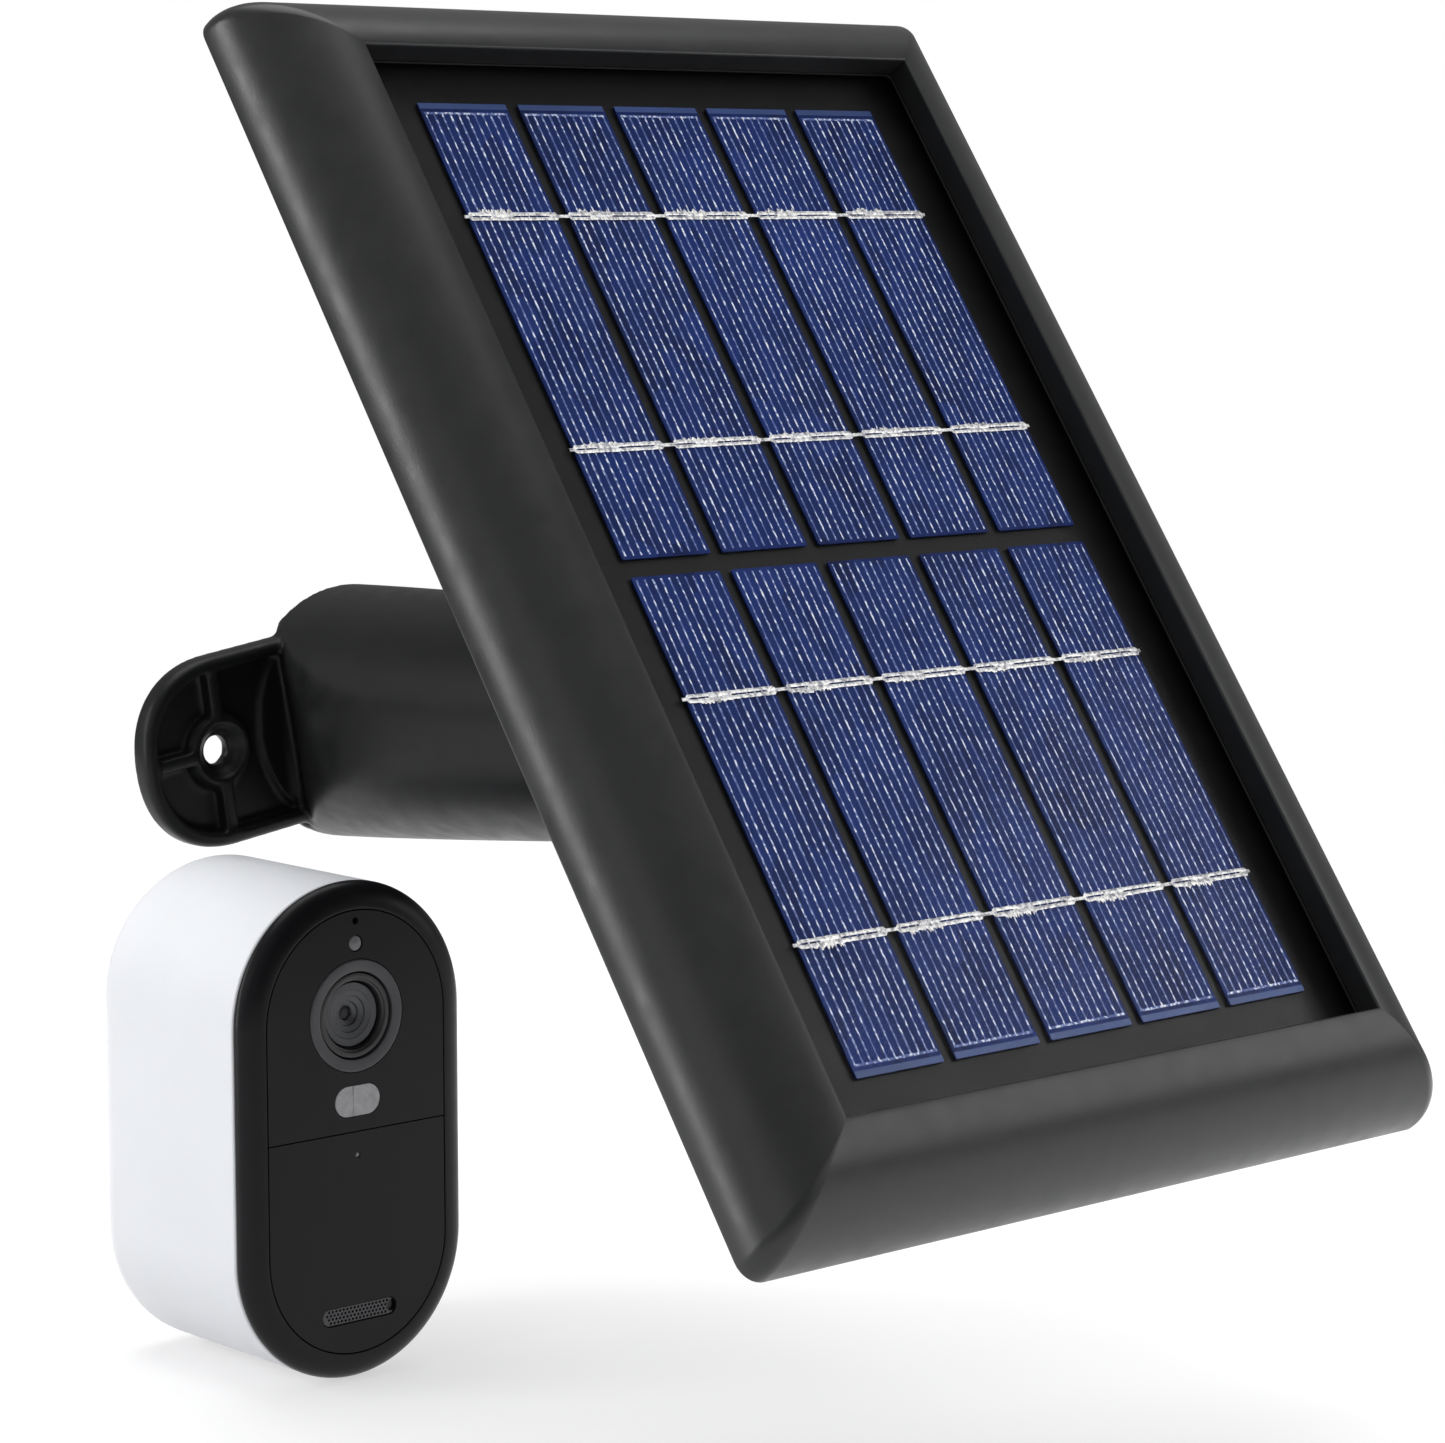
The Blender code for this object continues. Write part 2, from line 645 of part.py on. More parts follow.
def build_hub(panel):
    """The bracket on the panel's back whose two ears hold the neck's tongue."""
    top = panel_z(COVER_BACK + GAP)
    flange = prism(rounded_rectangle(2 * HUB_HALF, 2 * HUB_HALF, 5.0, 4), top - HUB_THICK, top)
    hub = new_object("panel_hub", flange, panel, charcoal())
    outline = knuckle_outline(12.0, top - HUB_THICK + 1)
    inner, outer = KNUCKLE_HALF + GAP, KNUCKLE_HALF + GAP + EAR_THICKNESS
    for side in (-1, 1):
        low, high = sorted((side * inner, side * outer))
        ear = new_object(f"hub_ear_{side}", ear_shape(outline, low, high), panel)
        join(hub, ear)
    cut(hub, across_x("hub_hole", cylinder(BOLT_HOLE_R, -20, 20, SMALL_STEPS + 4), panel))
    for index, (x, y) in enumerate(corners(HUB_SCREW_AT, HUB_SCREW_AT)):
        hole = cylinder(1.6, top - HUB_THICK - 1, top + 1, 12)
        cut(hub, new_object(f"hub_screw_hole_{index}", hole, panel, at=(x, y, 0)))
        build_screw(f"hub_screw_{index + 1}", panel, (x, y, top - HUB_THICK - GAP), 9.8)


# Camera unit, in a frame whose +Z is out of its front


def unit_loop(inset, z):
    return at_height(upright_stadium(UNIT_W - 2 * inset, UNIT_H - 2 * inset), z)


def build_rear_housing(unit):
    back = -UNIT_DEPTH
    rim = -GAP / 2
    loops = [unit_loop(UNIT_WALL + 3.2, back + UNIT_WALL), unit_loop(UNIT_WALL + 0.6, back + UNIT_WALL + 1.8)]
    loops += [unit_loop(UNIT_WALL, back + UNIT_WALL + 4.5), unit_loop(UNIT_WALL, rim), unit_loop(0, rim)]
    for i in range(6):
        angle = 0.5 * math.pi * i / 5
        inset = UNIT_ROUND * (1 - math.cos(angle))
        loops.append(unit_loop(inset, back + UNIT_ROUND * (1 - math.sin(angle))))
    white = material("white_plastic", (0.78, 0.79, 0.81), 0.35)
    housing = new_object("rear_housing", lofted(loops), unit, white)
    through = (back - 1, back + UNIT_WALL + 1)
    cut(housing, new_object("button_way", cylinder(BUTTON_R + GAP, *through, 24), unit, at=(0, BUTTON_Y, 0)))
    cut(housing, new_object("socket_way", cylinder(5.8, *through, 24), unit, at=(0, SOCKET_Y, 0)))
    width, height = PORT_SIZE
    seat_outline = rounded_rectangle(width + 3.6, height + 3.6, 2.0, 3)
    seat = new_object("port_seat", prism(seat_outline, back + 1, back + 6.6), unit, at=(0, PORT_Y, 0))
    pocket_outline = rounded_rectangle(width, height, 1.0, 3)
    pocket = new_object("port_pocket", prism(pocket_outline, back - 1, back + 2.4), unit, at=(0, PORT_Y, 0))
    slot_outline = rounded_rectangle(9.2, 4.0, 1.0, 3)
    slot = new_object("port_slot", prism(slot_outline, back - 1, back + 8), unit, at=(0, PORT_Y + 0.4, 0))
    join(housing, seat)
    cut(housing, pocket, slot)


def build_front(unit):
    """The dark bezel ring with its seal, and the two face panels that it holds."""
    rise = FACE_TOP - 0.6
    profile = [(0, 0.15)]
    for i in range(8):
        angle = 0.5 * math.pi * i / 7
        profile.append((FACE_INSET * (1 - math.cos(angle)), 0.6 + rise * math.sin(angle)))
    profile += [(FACE_INSET, 0.9), (FACE_INSET + 2.2, 0.9), (FACE_INSET + 2.2, -1.5), (UNIT_WALL + GAP, -1.5)]
    profile += [(UNIT_WALL + GAP, 0.15)]
    black = material("black_gloss_plastic", (0.012, 0.012, 0.014), 0.3)
    new_object("front_bezel", lofted([unit_loop(*point) for point in profile], wrap=True), unit, black)
    outer, inner = UNIT_WALL + GAP, UNIT_WALL + 2.0
    seal = [(outer, -1.8), (inner, -1.8), (inner, -3.0), (outer, -3.0)]
    new_object("housing_seal", lofted([unit_loop(*point) for point in seal], wrap=True), unit, seal_rubber())
    outline = upright_stadium(UNIT_W - 2 * FACE_INSET - 2 * GAP, UNIT_H - 2 * FACE_INSET - 2 * GAP)
    window = new_object("upper_front_window", prism(outline, FACE_UNDER, FACE_TOP - 0.1), unit, black)
    lower = new_object("lower_front_panel", prism(outline, FACE_UNDER, FACE_TOP - 0.1), unit, black)
    below = rounded_rectangle(60, 60, 1, 1)
    cut(window, new_object("window_trim", prism(below, 0, 5), unit, at=(0, SEAM_Y + GAP / 2 - 30, 0)))
    cut(lower, new_object("panel_trim", prism(below, 0, 5), unit, at=(0, SEAM_Y - GAP / 2 + 30, 0)))
    cut(window, new_object("lens_way", cylinder(LENS_RING_R + GAP, 0, 5, 36), unit, at=(0, LENS_Y, 0)))
    cut(window, new_object("sensor_way", cylinder(1.5, 0, 5, SMALL_STEPS), unit, at=(0, SENSOR_Y, 0)))
    cut(window, new_object("microphone_way", cylinder(0.6, 0, 5, 10), unit, at=(0, MICROPHONE_Y, 0)))
    pir_way = rounded_rectangle(PIR_SIZE[0] + 2 * GAP, PIR_SIZE[1] + 2 * GAP, PIR_SIZE[1] / 2, 5)
    cut(window, new_object("pir_way", prism(pir_way, 0, 5), unit, at=(0, PIR_Y, 0)))
    grille_way = rounded_rectangle(GRILLE_SIZE[0] + 2 * GAP, GRILLE_SIZE[1] + 2 * GAP, GRILLE_SIZE[1] / 2, 5)
    cut(lower, new_object("grille_way", prism(grille_way, 0, 5), unit, at=(0, GRILLE_Y, 0)))
    cut(lower, new_object("status_way", cylinder(0.8, 0, 5, 10), unit, at=(0, STATUS_Y, 0)))


def build_optics(unit):
    grey = material("grey_plastic", (0.045, 0.045, 0.05), 0.4)
    black = material("lens_black", (0.01, 0.01, 0.012), 0.3)
    at_lens = (0, LENS_Y, 0)
    ring = [
        (LENS_WELL_R + GAP, 1.4),
        (LENS_RING_R, 1.4),
        (LENS_RING_R, FACE_TOP - 0.1),
        (LENS_RING_R - 0.4, FACE_TOP + 0.1),
        (LENS_WELL_R + GAP, FACE_TOP - 0.2),
    ]
    new_object("lens_ring", turned_shape(ring, 36), unit, grey, at=at_lens)
    barrel = [
        (0, -10),
        (LENS_WELL_R, -10),
        (LENS_WELL_R, 2.6),
        (LENS_WELL_R - 0.4, 2.8),
        (LENS_GLASS_R + GAP, 2.2),
        (LENS_GLASS_R + GAP, -0.5),
        (3.0, -0.5),
        (2.0, -4.0),
        (0, -4.0),
    ]
    new_object("lens_barrel", turned_shape(barrel, 36), unit, black, at=at_lens)
    dome = [(0, -0.2), (LENS_GLASS_R, -0.2), (LENS_GLASS_R, 0.6)]
    for i in range(1, 7):
        angle = math.radians(14 * i)
        dome.append((LENS_GLASS_R * math.cos(angle), 0.6 + 1.6 * math.sin(angle)))
    dome.append((0, 2.2))
    glass = material("lens_glass", (0.5, 0.52, 0.55), 0.05, alpha=0.35)
    new_object("lens_glass", turned_shape(dome, 36), unit, glass, at=at_lens)
    sensor_board = prism(rounded_rectangle(20, 20, 1, 1), -11.9, -10.3)
    new_object("image_sensor_board", sensor_board, unit, circuit_board(), at=at_lens)
    light = material("light_window", (0.3, 0.3, 0.32), 0.3)
    sensor = cylinder(1.2, FACE_UNDER, FACE_TOP - 0.2, SMALL_STEPS)
    new_object("light_sensor", sensor, unit, light, at=(0, SENSOR_Y, 0))
    frosted = material("motion_window", (0.45, 0.45, 0.47), 0.4)
    pir = prism(rounded_rectangle(*PIR_SIZE, PIR_SIZE[1] / 2 - 0.3, 5), FACE_UNDER, FACE_TOP)
    new_object("motion_sensor_window", pir, unit, frosted, at=(0, PIR_Y, 0))
    pipe = cylinder(0.5, FACE_UNDER - 2, FACE_TOP - 0.2, 10)
    new_object("status_light_pipe", pipe, unit, light, at=(0, STATUS_Y, 0))
    microphone = cylinder(1.8, -1.4, 0.6, SMALL_STEPS)
    new_object("microphone", microphone, unit, steel(), at=(0, MICROPHONE_Y - 2.6, 0))


def build_sound_and_power(unit):
    mesh_grey = material("grille_grey", (0.05, 0.05, 0.055), 0.5)
    outline = rounded_rectangle(*GRILLE_SIZE, GRILLE_SIZE[1] / 2 - 0.1, 5)
    strip = prism(outline, FACE_UNDER + 0.4, FACE_TOP - 0.4)
    new_object("speaker_grille", strip, unit, mesh_grey, at=(0, GRILLE_Y, 0))
    speaker = [(0, -7), (5.5, -7), (5.5, -4), (8, -2.5), (8, 0.2), (7, 0.2), (4, -1.2), (0, -1.2)]
    new_object("speaker", turned_shape(speaker, 24), unit, mesh_grey, at=(0, GRILLE_Y + 5, 0))
    board = prism(rounded_rectangle(32, 62, 14, 4), -13.8, -12.2)
    new_object("main_board", board, unit, circuit_board())
    cell = material("battery_wrap", (0.05, 0.16, 0.35), 0.4)
    battery = prism(rounded_rectangle(34, 46, 6, 4), -28.5, -14.1)
    new_object("battery", battery, unit, cell)
    brass = material("brass", (0.7, 0.5, 0.2), 0.3, metallic=1.0)
    low, high = -UNIT_DEPTH + 0.2, -UNIT_DEPTH + 9.0
    socket = [(0, high - 1.5), (SOCKET_R, high - 1.5), (SOCKET_R, low), (5.5, low), (5.5, high), (0, high)]
    new_object("mounting_socket", turned_shape(socket, 24), unit, brass, at=(0, SOCKET_Y, 0))


def build_controls(unit):
    """The pieces on the camera's back that move: the sync button and the flap over the charging port."""
    back = -UNIT_DEPTH
    rubber = material("control_rubber", (0.45, 0.46, 0.48), 0.6)
    inside = back + UNIT_WALL + GAP
    button = [(0, back - 0.2), (BUTTON_R - 0.4, back - 0.2), (BUTTON_R, back + 0.2), (BUTTON_R, inside)]
    button += [(BUTTON_R + 1.2, inside), (BUTTON_R + 1.2, inside + 1.0), (0, inside + 1.0)]
    new_object("sync_button", turned_shape(button, 24), unit, rubber, at=(0, BUTTON_Y, 0))
    shell = new_object("charging_port", prism(rounded_rectangle(8.4, 3.2, 1.0, 3), 2.6, 8.2), unit, steel())
    shell.location = Vector((0, PORT_Y + 0.4, back)) * MM
    cut(shell, new_object("port_mouth", prism(rounded_rectangle(7.4, 2.2, 0.7, 3), 2, 7.2), shell))
    half = FLAP_THICK / 2
    width, height = PORT_SIZE[0] - 2 * GAP, PORT_SIZE[1] - 2 * GAP
    hinge = local_frame("flap_hinge", (0, 0, 0), 0)
    hinge.parent = unit
    hinge.location = Vector((0, PORT_Y - height / 2 + half, back + half + 0.2)) * MM
    outline = [(height - half, -half), (height - half, half)]
    for i in range(9):
        angle = math.pi * i / 8
        outline.append((-half * math.sin(angle), half * math.cos(angle)))
    new_object("port_cover", ear_shape(outline, -width / 2, width / 2), hinge, rubber)


def main():
    clear_scene()
    plate = local_frame("plate_frame", (0, 0, 0), 90, PLATE_TURN)
    arm = local_frame("swivel_axis", (0, 0, 0), 90 - ARM_RISE)
    build_wall_base(plate, arm)
    rise = math.radians(ARM_RISE)
    tilt_axis = (0, -HINGE_REACH * math.cos(rise), HINGE_REACH * math.sin(rise))
    tilt_axis_on_arm = local_frame("tilt_axis_on_arm", tilt_axis, 90 - ARM_RISE, parent=arm)
    build_swivel(arm, tilt_axis_on_arm)
    panel = local_frame("tilt_axis", tilt_axis, 90 - PANEL_TILT, parent=arm)
    build_front_frame(panel)
    build_laminate(panel)
    build_back_cover(panel)
    build_hub(panel)
    unit = local_frame("camera_slide", UNIT_AT, 90)
    build_rear_housing(unit)
    build_front(unit)
    build_optics(unit)
    build_sound_and_power(unit)
    build_controls(unit)


main()
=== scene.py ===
"""How the solar panel, its wall arm and the battery camera look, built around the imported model."""

import json
import math
import random

import bmesh
import bpy
from mathutils import Matrix, Vector, noise

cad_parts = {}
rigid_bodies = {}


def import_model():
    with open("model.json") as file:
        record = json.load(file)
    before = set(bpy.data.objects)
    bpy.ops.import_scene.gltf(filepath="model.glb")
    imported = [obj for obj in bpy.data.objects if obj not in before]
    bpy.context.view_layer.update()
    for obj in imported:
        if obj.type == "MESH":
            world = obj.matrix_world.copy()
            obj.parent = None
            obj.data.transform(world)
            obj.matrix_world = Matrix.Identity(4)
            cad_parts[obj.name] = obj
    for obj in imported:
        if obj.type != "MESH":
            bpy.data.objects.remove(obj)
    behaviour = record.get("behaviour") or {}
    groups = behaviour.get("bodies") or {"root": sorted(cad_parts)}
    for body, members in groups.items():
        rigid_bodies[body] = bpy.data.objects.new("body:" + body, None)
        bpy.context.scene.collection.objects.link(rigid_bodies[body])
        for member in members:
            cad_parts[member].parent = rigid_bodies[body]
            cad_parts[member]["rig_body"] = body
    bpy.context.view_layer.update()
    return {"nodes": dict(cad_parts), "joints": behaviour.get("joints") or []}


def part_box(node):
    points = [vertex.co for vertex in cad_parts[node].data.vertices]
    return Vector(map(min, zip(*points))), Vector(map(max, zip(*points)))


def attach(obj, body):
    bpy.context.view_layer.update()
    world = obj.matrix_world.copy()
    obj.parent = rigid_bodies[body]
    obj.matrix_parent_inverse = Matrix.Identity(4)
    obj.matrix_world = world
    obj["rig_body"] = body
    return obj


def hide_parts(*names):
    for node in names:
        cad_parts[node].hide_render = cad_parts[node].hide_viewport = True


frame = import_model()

# Sizes are in millimetres, in the same four local frames as the CAD: +Z is a piece's front, +Y is up.
MM = 0.001
GAP = 0.3
ARM_RISE = 3.45
PLATE_TURN = 8.3
PANEL_TILT = 35.6
LIP_STANDOFF = 57.3  # tilt axis to the panel's lip plane

PLATE_HALF_SPAN = 28.4
PLATE_END_R = 16.15
PLATE_POWER = 2.25
RIM_TOP = 4.6
RIM_WIDTH = 2.4
RIM_ROUND = 1.5
FLOOR_TOP = 1.6
RIB_HALF = 1.2
RIB_TOP = 4.3
BOSS_R = 5.8
BOSS_TOP = 4.1
BOSS_FOOT_R = 6.45
BOSS_FOOT_TOP = 3.0
SCREW_REACH = 29.1
SCREW_HOLE = [(0, -1), (2.4, -1), (2.4, 1.9), (2.9, 2.3), (3.5, 2.3)]
SCREW_HOLE += [(3.7, 3.2), (4.6, 3.4), (4.6, 9), (0, 9)]
HOUSING_BASE_R = 21.65
HOUSING_END_R = 18.85
HOUSING_END = 71.5
HOUSING_POWER = 1.27
HOUSING_EDGE = 0.6
FOOT_R = 20.0
FOOT_BASE = 0.7
FOOT_TOP = 2.4
CHANNEL_R = 200.0
CHANNEL_FILLET = 4.0
CHANNEL_HALF_ANGLE = (13, 36)  # degrees: far along the arm, and what is added at its start
CHANNEL_START = 4
CHANNEL_FADE = 9
CHANNEL_BLEND = 3.5
CORE_R = 10.5
CORE_START = 8
JOURNAL_BORE_R = 15.0
JOURNAL_START = 52.0
GROOVE_MIDDLE = 61.0
NECK_TOP = 74.0
KNUCKLE_R = 9.0
KNUCKLE_HALF = 7.0
EAR_THICKNESS = 5.0
WASHER_THICKNESS = 1.2
BOLT_R = 2.9

FRAME_W = 140.0
FRAME_H = 205.0
BEZEL = 15.1
BEZEL_DROP = 14.8
BEZEL_POWER = 1.87
BEZEL_CORNER_R = 3.4
FRAME_WALL = 2.0
RECESS_WALL = 4.0
COVER_TOP = 15.6
COVER_BACK = 25.0
CELL_TOP = 5.95
RIBBON_TOP = 5.6
CELL_COLUMNS = 5
FINGERS = 11
FINGER_WIDTH = 0.32

UNIT_W = 43.5
UNIT_H = 80.2
UNIT_DEPTH = 38.5
UNIT_WALL = 2.2
UNIT_ROUND = 5.0
FACE_TOP = 3.1
FACE_INSET = 4.3
SEAM_Y = 0.2
LENS_Y = 18.8
PIR_Y = 5.2
SENSOR_Y = 30.4
MICROPHONE_Y = 34.0
STATUS_Y = -3.6
GRILLE_Y = -29.2
BUTTON_Y = 22.0
PORT_Y = -23.0
SOCKET_Y = -2.0

# Camera and floor, in metres
CAMERA_AT = (-0.4245, -0.56707, 0.08731)
CAMERA_AHEAD = (0.6643, 0.7368, -0.1257)
CAMERA_UP = (0.0845, 0.0930, 0.9921)
CAMERA_LENS = 103.1
FLOOR_HALF = 1.6
FLOOR_FADE = (0.3, 0.8)

joints = {joint["name"]: joint for joint in frame["joints"]}


def frame_at(place, degrees_about_x):
    return Matrix.Translation(Vector(place)) @ Matrix.Rotation(math.radians(degrees_about_x), 4, "X")


def box_centre(node):
    low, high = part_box(node)
    return (Vector(low) + Vector(high)) / 2


unit_low, unit_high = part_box("rear_housing")
unit_middle = box_centre("rear_housing")
ARM = frame_at((0, 0, 0), 90 - ARM_RISE)
PLATE = frame_at((0, 0, 0), 90) @ Matrix.Rotation(math.radians(PLATE_TURN), 4, "Z")
TONGUE = frame_at(joints["tilt"]["pos_m"], 90 - ARM_RISE)
PANEL = frame_at(joints["tilt"]["pos_m"], 90 - PANEL_TILT)
UNIT = frame_at((unit_middle.x, unit_low[1] - 0.15 * MM, unit_middle.z), 90)


# Materials


class Finish:
    """A Principled material whose textures use the object's own coordinates, in metres."""

    def __init__(self, name):
        self.material = bpy.data.materials.new(name)
        self.material.use_nodes = True
        self.nodes = self.material.node_tree.nodes
        self.shader = self.nodes["Principled BSDF"]
        self.place = self.nodes.new("ShaderNodeTexCoord").outputs["Object"]

    def link(self, source, target):
        self.material.node_tree.links.new(source, target)

    def set(self, **sockets):
        for name, value in sockets.items():
            self.shader.inputs[name.replace("_", " ")].default_value = value
        return self

    def noise(self, size, detail=2.0, stretch=None):
        """Noise whose features are about this many millimetres across."""
        texture = self.nodes.new("ShaderNodeTexNoise")
        texture.inputs["Scale"].default_value = 1 / (size * MM)
        texture.inputs["Detail"].default_value = detail
        self.link(self.stretched(stretch) if stretch else self.place, texture.inputs["Vector"])
        return texture.outputs["Fac"]

    def stretched(self, scale):
        """Coordinates turned into the panel's plane and scaled along its axes."""
        turn = self.nodes.new("ShaderNodeMapping")
        turn.inputs["Rotation"].default_value = (-math.radians(90 - PANEL_TILT), 0, 0)
        self.link(self.place, turn.inputs["Vector"])
        grow = self.nodes.new("ShaderNodeMapping")
        grow.inputs["Scale"].default_value = scale
        self.link(turn.outputs["Vector"], grow.inputs["Vector"])
        return grow.outputs["Vector"]

    def ramp(self, factor, stops):
        ramp = self.nodes.new("ShaderNodeValToRGB")
        elements = ramp.color_ramp.elements
        while len(elements) < len(stops):
            elements.new(0.5)
        for element, (position, colour) in zip(elements, stops):
            element.position = position
            element.color = (*colour, 1.0)
        self.link(factor, ramp.inputs["Fac"])
        return ramp.outputs["Color"]

    def colour(self, factor, stops):
        self.link(self.ramp(factor, stops), self.shader.inputs["Base Color"])

    def spread(self, factor, low, high):
        reach = self.nodes.new("ShaderNodeMapRange")
        reach.inputs["From Min"].default_value = 0.3
        reach.inputs["From Max"].default_value = 0.7
        reach.inputs["To Min"].default_value = low
        reach.inputs["To Max"].default_value = high
        self.link(factor, reach.inputs["Value"])
        return reach.outputs["Result"]

    def roughness(self, factor, low, high):
        self.link(self.spread(factor, low, high), self.shader.inputs["Roughness"])
        return self

    def bump(self, factor, height, strength=1.0):
        """Relief of about this height in millimetres."""
        bump = self.nodes.new("ShaderNodeBump")
        bump.inputs["Distance"].default_value = height * MM
        bump.inputs["Strength"].default_value = strength
        self.link(factor, bump.inputs["Height"])
        self.link(bump.outputs["Normal"], self.shader.inputs["Normal"])
        return self


def shades(colour, spread):
    return [tuple(channel * level for channel in colour) for level in (1 - spread, 1 + spread)]


def plain(name, colour, roughness, mottle=0.1, grain=0.25, height=0.01, **sockets):
    """A moulded or machined surface: slight blotches in colour and gloss, and a fine grain."""
    finish = Finish(name)
    dark, light = shades(colour, mottle)
    finish.colour(finish.noise(14, 4), [(0.3, dark), (0.7, light)])
    finish.roughness(finish.noise(4, 5), roughness * 0.88, roughness * 1.12)
    finish.bump(finish.noise(grain, 3), height)
    return finish.set(**sockets).material


def brushed(name, colour, roughness):
    return plain(name, colour, roughness, mottle=0.06, grain=0.12, height=0.006, Metallic=1.0)


def silicon_finish():
    """Polycrystalline silicon: flat grains of slightly different blues, with a fine haze over them."""
    finish = Finish("solar_cell_blue")
    grains = finish.nodes.new("ShaderNodeTexVoronoi")
    grains.inputs["Scale"].default_value = 1 / (2.6 * MM)
    grains.inputs["Randomness"].default_value = 1.0
    finish.link(finish.stretched((1.0, 0.35, 1.0)), grains.inputs["Vector"])
    split = finish.nodes.new("ShaderNodeSeparateColor")
    finish.link(grains.outputs["Color"], split.inputs["Color"])
    blues = [(0.0, (0.003, 0.010, 0.060)), (1.0, (0.012, 0.036, 0.190))]
    hazes = [(0.3, (0.002, 0.007, 0.050)), (0.7, (0.011, 0.032, 0.180))]
    crystal = finish.ramp(split.outputs["Red"], blues)
    cloud = finish.ramp(finish.noise(30, 3), hazes)
    mix = finish.nodes.new("ShaderNodeMix")
    mix.data_type = "RGBA"
    mix.inputs["Factor"].default_value = 0.45
    finish.link(crystal, mix.inputs["A"])
    finish.link(cloud, mix.inputs["B"])
    finish.link(mix.outputs["Result"], finish.shader.inputs["Base Color"])
    finish.roughness(split.outputs["Green"], 0.34, 0.46)
    return finish.set(Specular_IOR_Level=0.12).material


def finger_finish():
    """Printed silver lines with glints painted into their colour: spots of painted highlight along a darker
    blue.
    """
    finish = Finish("finger_silver_painted_glints")
    # Painted highlights: noise spots along each line are coloured near white.
    painted_glints = finish.noise(0.75, 1, stretch=(1.5, 1.0, 1.0))
    colours = [(0.40, (0.06, 0.10, 0.33)), (0.54, (0.20, 0.28, 0.60)), (0.62, (0.80, 0.86, 1.0))]
    finish.colour(painted_glints, colours)
    finish.roughness(finish.noise(0.6), 0.35, 0.5)
    return finish.set(Metallic=0.0).material


def solder_finish():
    finish = Finish("solder_silver")
    colours = [(0.35, (0.30, 0.30, 0.33)), (0.5, (0.74, 0.74, 0.76)), (0.6, (0.97, 0.96, 0.94))]
    finish.colour(finish.noise(0.7, 4), colours)
    finish.roughness(finish.noise(0.5, 3), 0.22, 0.5)
    finish.bump(finish.noise(0.35, 4), 0.12)
    return finish.set(Metallic=0.55).material


def clear_finish(name, tint, haze):
    """A clear layer that lets the view straight through and adds only its gloss."""
    finish = Finish(name)
    finish.roughness(finish.noise(9, 3), haze * 0.7, haze * 1.3)
    finish.colour(finish.noise(20), [(0.3, tint), (0.7, shades(tint, 0.03)[1])])
    clear = finish.nodes.new("ShaderNodeBsdfTransparent")
    grazing = finish.nodes.new("ShaderNodeLayerWeight")
    gloss = finish.nodes.new("ShaderNodeMapRange")
    gloss.interpolation_type = "SMOOTHSTEP"
    gloss.inputs["From Min"].default_value = 0.4
    gloss.inputs["To Min"].default_value = 0.02
    gloss.inputs["To Max"].default_value = 0.5
    finish.link(grazing.outputs["Facing"], gloss.inputs["Value"])
    mix = finish.nodes.new("ShaderNodeMixShader")
    finish.link(gloss.outputs["Result"], mix.inputs["Fac"])
    finish.link(clear.outputs["BSDF"], mix.inputs[1])
    finish.link(finish.shader.outputs["BSDF"], mix.inputs[2])
    finish.link(mix.outputs["Shader"], finish.nodes["Material Output"].inputs["Surface"])
    return finish.material


def frosted_finish():
    """Frosted, slightly lit plastic with faint ribs inside."""
    finish = Finish("motion_window_frost")
    finish.colour(finish.noise(1.3, 2), [(0.3, (0.34, 0.34, 0.36)), (0.7, (0.46, 0.46, 0.485))])
    finish.roughness(finish.noise(0.8, 2), 0.25, 0.4)
    finish.bump(finish.noise(0.5, 2), 0.03)
    return finish.set(Coat_Weight=0.4).material


FRAME_COLOUR = (0.017, 0.0175, 0.0185)
ARM_COLOUR = (0.0075, 0.0078, 0.0081)
FACE_COLOUR = (0.0085, 0.0083, 0.0098)
BOARD_COLOUR = (0.0055, 0.0055, 0.006)
CHARCOAL = plain("frame_charcoal", FRAME_COLOUR, 0.34, 0.08, 0.35, 0.012, Specular_IOR_Level=0.34)
ARM_BLACK = plain("arm_charcoal", ARM_COLOUR, 0.42, 0.1, 0.3, 0.006, Specular_IOR_Level=0.17)
BACK_BLACK = plain("back_charcoal", (0.026, 0.027, 0.028), 0.55, mottle=0.1, grain=0.5, height=0.05)
NYLON = plain("nylon_black", (0.02, 0.02, 0.02), 0.6)
STEEL = brushed("zinc_steel", (0.62, 0.62, 0.64), 0.32)
BRASS = brushed("turned_brass", (0.72, 0.52, 0.24), 0.3)
RUBBER = plain("black_rubber", (0.016, 0.016, 0.016), 0.7, grain=0.2, height=0.02)
WHITE_LOOK = dict(mottle=0.012, grain=0.5, height=0.004, Subsurface_Weight=0.05, Specular_IOR_Level=0.3)
WHITE = plain("camera_white", (0.81, 0.81, 0.84), 0.38, **WHITE_LOOK)
FACE_BLACK = plain("camera_black", FACE_COLOUR, 0.35, 0.1, 0.3, 0.003, Specular_IOR_Level=0.15)
RING_GREY = plain("lens_ring_grey", (0.060, 0.059, 0.066), 0.5, grain=0.15, height=0.012)
WELL_GREY = plain("lens_well_grey", (0.012, 0.012, 0.014), 0.45, grain=0.15, height=0.006)
DISC_GREY = plain("lens_disc_grey", (0.060, 0.062, 0.072), 0.4, grain=0.15, height=0.003)
DEEP_BLACK = plain("deep_black", (0.003, 0.003, 0.0035), 0.6)
BOARD_BLACK = plain("cell_backing_black", BOARD_COLOUR, 0.4, 0.1, 1.5, 0.0006, Specular_IOR_Level=0.25)
CIRCUIT = plain("circuit_green", (0.02, 0.12, 0.05), 0.4, mottle=0.3)
BATTERY = plain("battery_wrap_blue", (0.05, 0.16, 0.35), 0.35)
LIGHT_GREY = plain("control_grey", (0.42, 0.43, 0.45), 0.6, grain=0.2, height=0.015)
SENSOR_GREY = plain("sensor_pale", (0.22, 0.22, 0.23), 0.3, mottle=0.35, grain=0.4, height=0.02)
